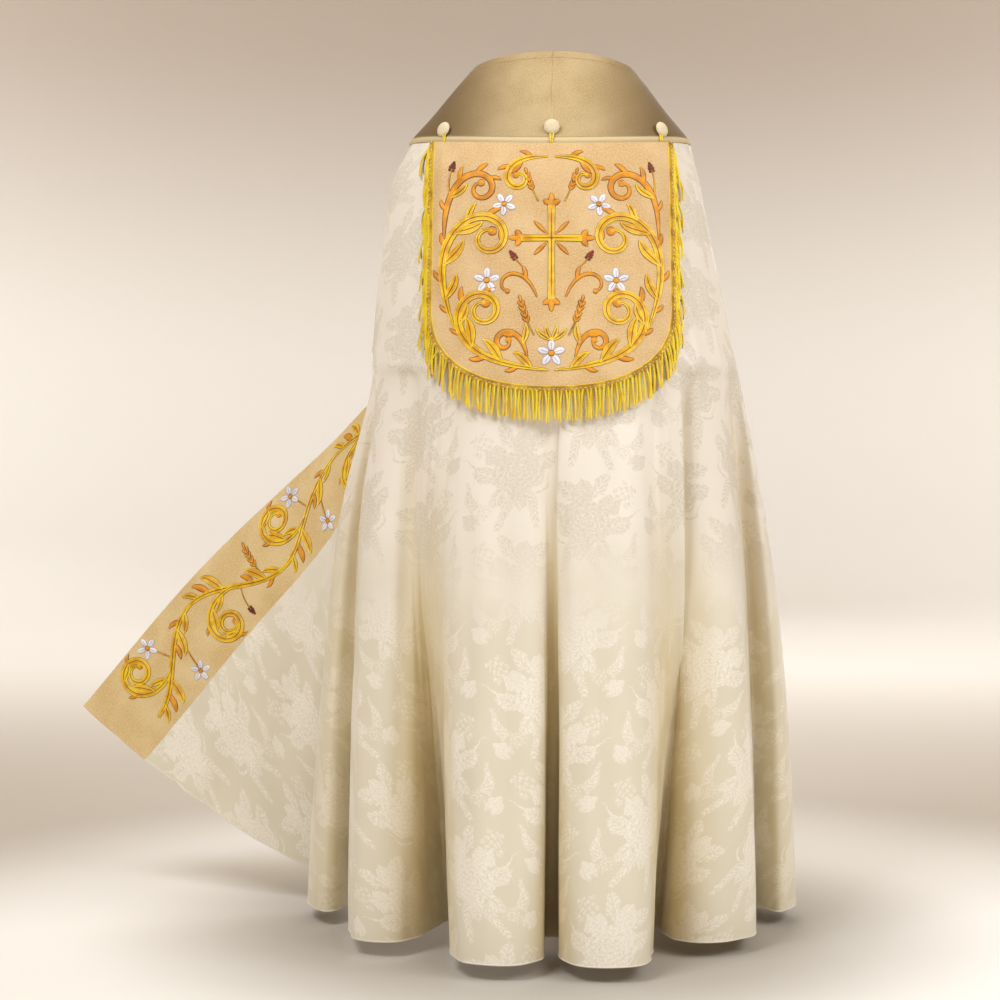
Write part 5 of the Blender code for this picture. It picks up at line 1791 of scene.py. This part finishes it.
# %% [markdown]
# ## The studio
#
# The cope stands in a pale studio: one bowl of warm off-white, flat underneath and curved
# up all round, so no line shows where the floor ends. The floor is painted darker under the
# cope, as a painted shadow, and the bowl is also darker in a ring round it and higher up the
# wall. A single lamp would give the satin one hard streak, so the light is shared out: the
# key box is high on the left, two weaker ones stand on the right, one lights the front of the
# cope, two wash the wall, and a dim warm glow fills in from all sides.

# %% Backdrop
FLOOR_Z = -1.345
BOWL = ((0.0, 0.0), (1.5, 0.0), (3.0, 0.0), (4.6, 0.0), (5.3, 0.10), (5.9, 0.42), (6.3, 1.0),
        (6.5, 1.8), (6.6, 3.2), (6.6, 5.5))
BOWL_SIDES = 72
AXIS_GAP = 0.001                # the first ring is tiny, so the floor has no hole
backdrop_points = []
for reach, height in BOWL:
    for side in range(BOWL_SIDES):
        centre_of_bowl = Vector((0, 0, FLOOR_Z + height))
        backdrop_points.append(on_circle(centre_of_bowl, RIGHT, FORWARD, max(reach, AXIS_GAP),
                                         2 * math.pi * side / BOWL_SIDES))
paper, paper_tree, paper_shader = new_material("Studio wall, warm white with painted shade")
x, y, z = node(paper_tree, "SeparateXYZ", node(paper_tree, "TexCoord").outputs["Object"]).outputs
away = node(paper_tree, "VectorMath LENGTH", node(paper_tree, "CombineXYZ", x, y)).outputs["Value"]
# Painted shadow: darkest under the cope, lightening out to 0.8 m; then darker in a ring from 0.85 to 1.45 m, and
# darker higher up the wall.
paper_colour_with_painted_shade = linear("#B4ADA2")
for start, end, hex_colour in ((0.35, 0.80, "#F4F0EA"), (0.85, 1.45, "#CDC3B6"), (1.7, 5.6, "#EDE9E3")):
    reach = node(paper_tree, "MapRange", away, start, end, interpolation_type="SMOOTHSTEP")
    paper_colour_with_painted_shade = mixed(paper_tree, reach, paper_colour_with_painted_shade, linear(hex_colour))
rise = node(paper_tree, "MapRange", z, -0.4, 1.5, interpolation_type="SMOOTHSTEP")
paper_colour_with_painted_shade = mixed(paper_tree, rise, paper_colour_with_painted_shade, linear("#BDB0A3"))
feed(paper_tree, paper_shader, {"Base Color": paper_colour_with_painted_shade, "Roughness": 0.9})
backdrop = mesh_object("backdrop", backdrop_points, ring_faces(0, len(BOWL), BOWL_SIDES), [paper])


# %% Lights
def soft_box(name, place, aim, size, power, hex_colour):
    data = bpy.data.lights.new(name, "AREA")
    data.shape = "RECTANGLE"
    data.size, data.size_y = size
    data.energy = power
    data.color = linear(hex_colour)[:3]
    light = bpy.data.objects.new(name, data)
    light.location = place
    light.rotation_euler = (Vector(aim) - Vector(place)).to_track_quat("-Z", "Y").to_euler()
    bpy.context.scene.collection.objects.link(light)


soft_box("Key soft box", (-1.6, -2.0, 2.0), (-0.15, 0, -0.25), (1.6, 1.4), 86, "#F4F8FF")
soft_box("Fill soft box", (2.1, -3.0, 1.7), (0, 0, -0.25), (1.8, 1.8), 40, "#F4F8FF")
soft_box("Side soft box", (2.8, -1.5, 1.5), (0, 0, -0.2), (1.6, 1.4), 55, "#F4F8FF")
soft_box("Front light", (0.4, 4.4, 1.2), (0, 0, -0.5), (2.4, 2.4), 66, "#F8FBFF")
soft_box("Wall light, left", (-3.4, 3.2, 1.6), (-2.4, 6.0, 0.2), (1.6, 1.6), 60, "#FAFCFF")
soft_box("Wall light, right", (3.4, 3.2, 1.6), (2.4, 6.0, 0.2), (1.6, 1.6), 60, "#FAFCFF")
world = bpy.data.worlds.new("Studio glow")
world.use_nodes = True
feed(world.node_tree, world.node_tree.nodes["Background"], {"Color": linear("#FFEBC8"), "Strength": 0.45})
bpy.context.scene.world = world
bpy.context.scene.view_settings.view_transform = "Standard"
bpy.context.scene.view_settings.look = "None"

# %% [markdown]
# ## Finish
#
# The last cell prints how many triangles the dressed cope has.

print("triangles:", sum(sum(len(face.vertices) - 2 for face in piece.data.polygons) for piece in pieces.values()))
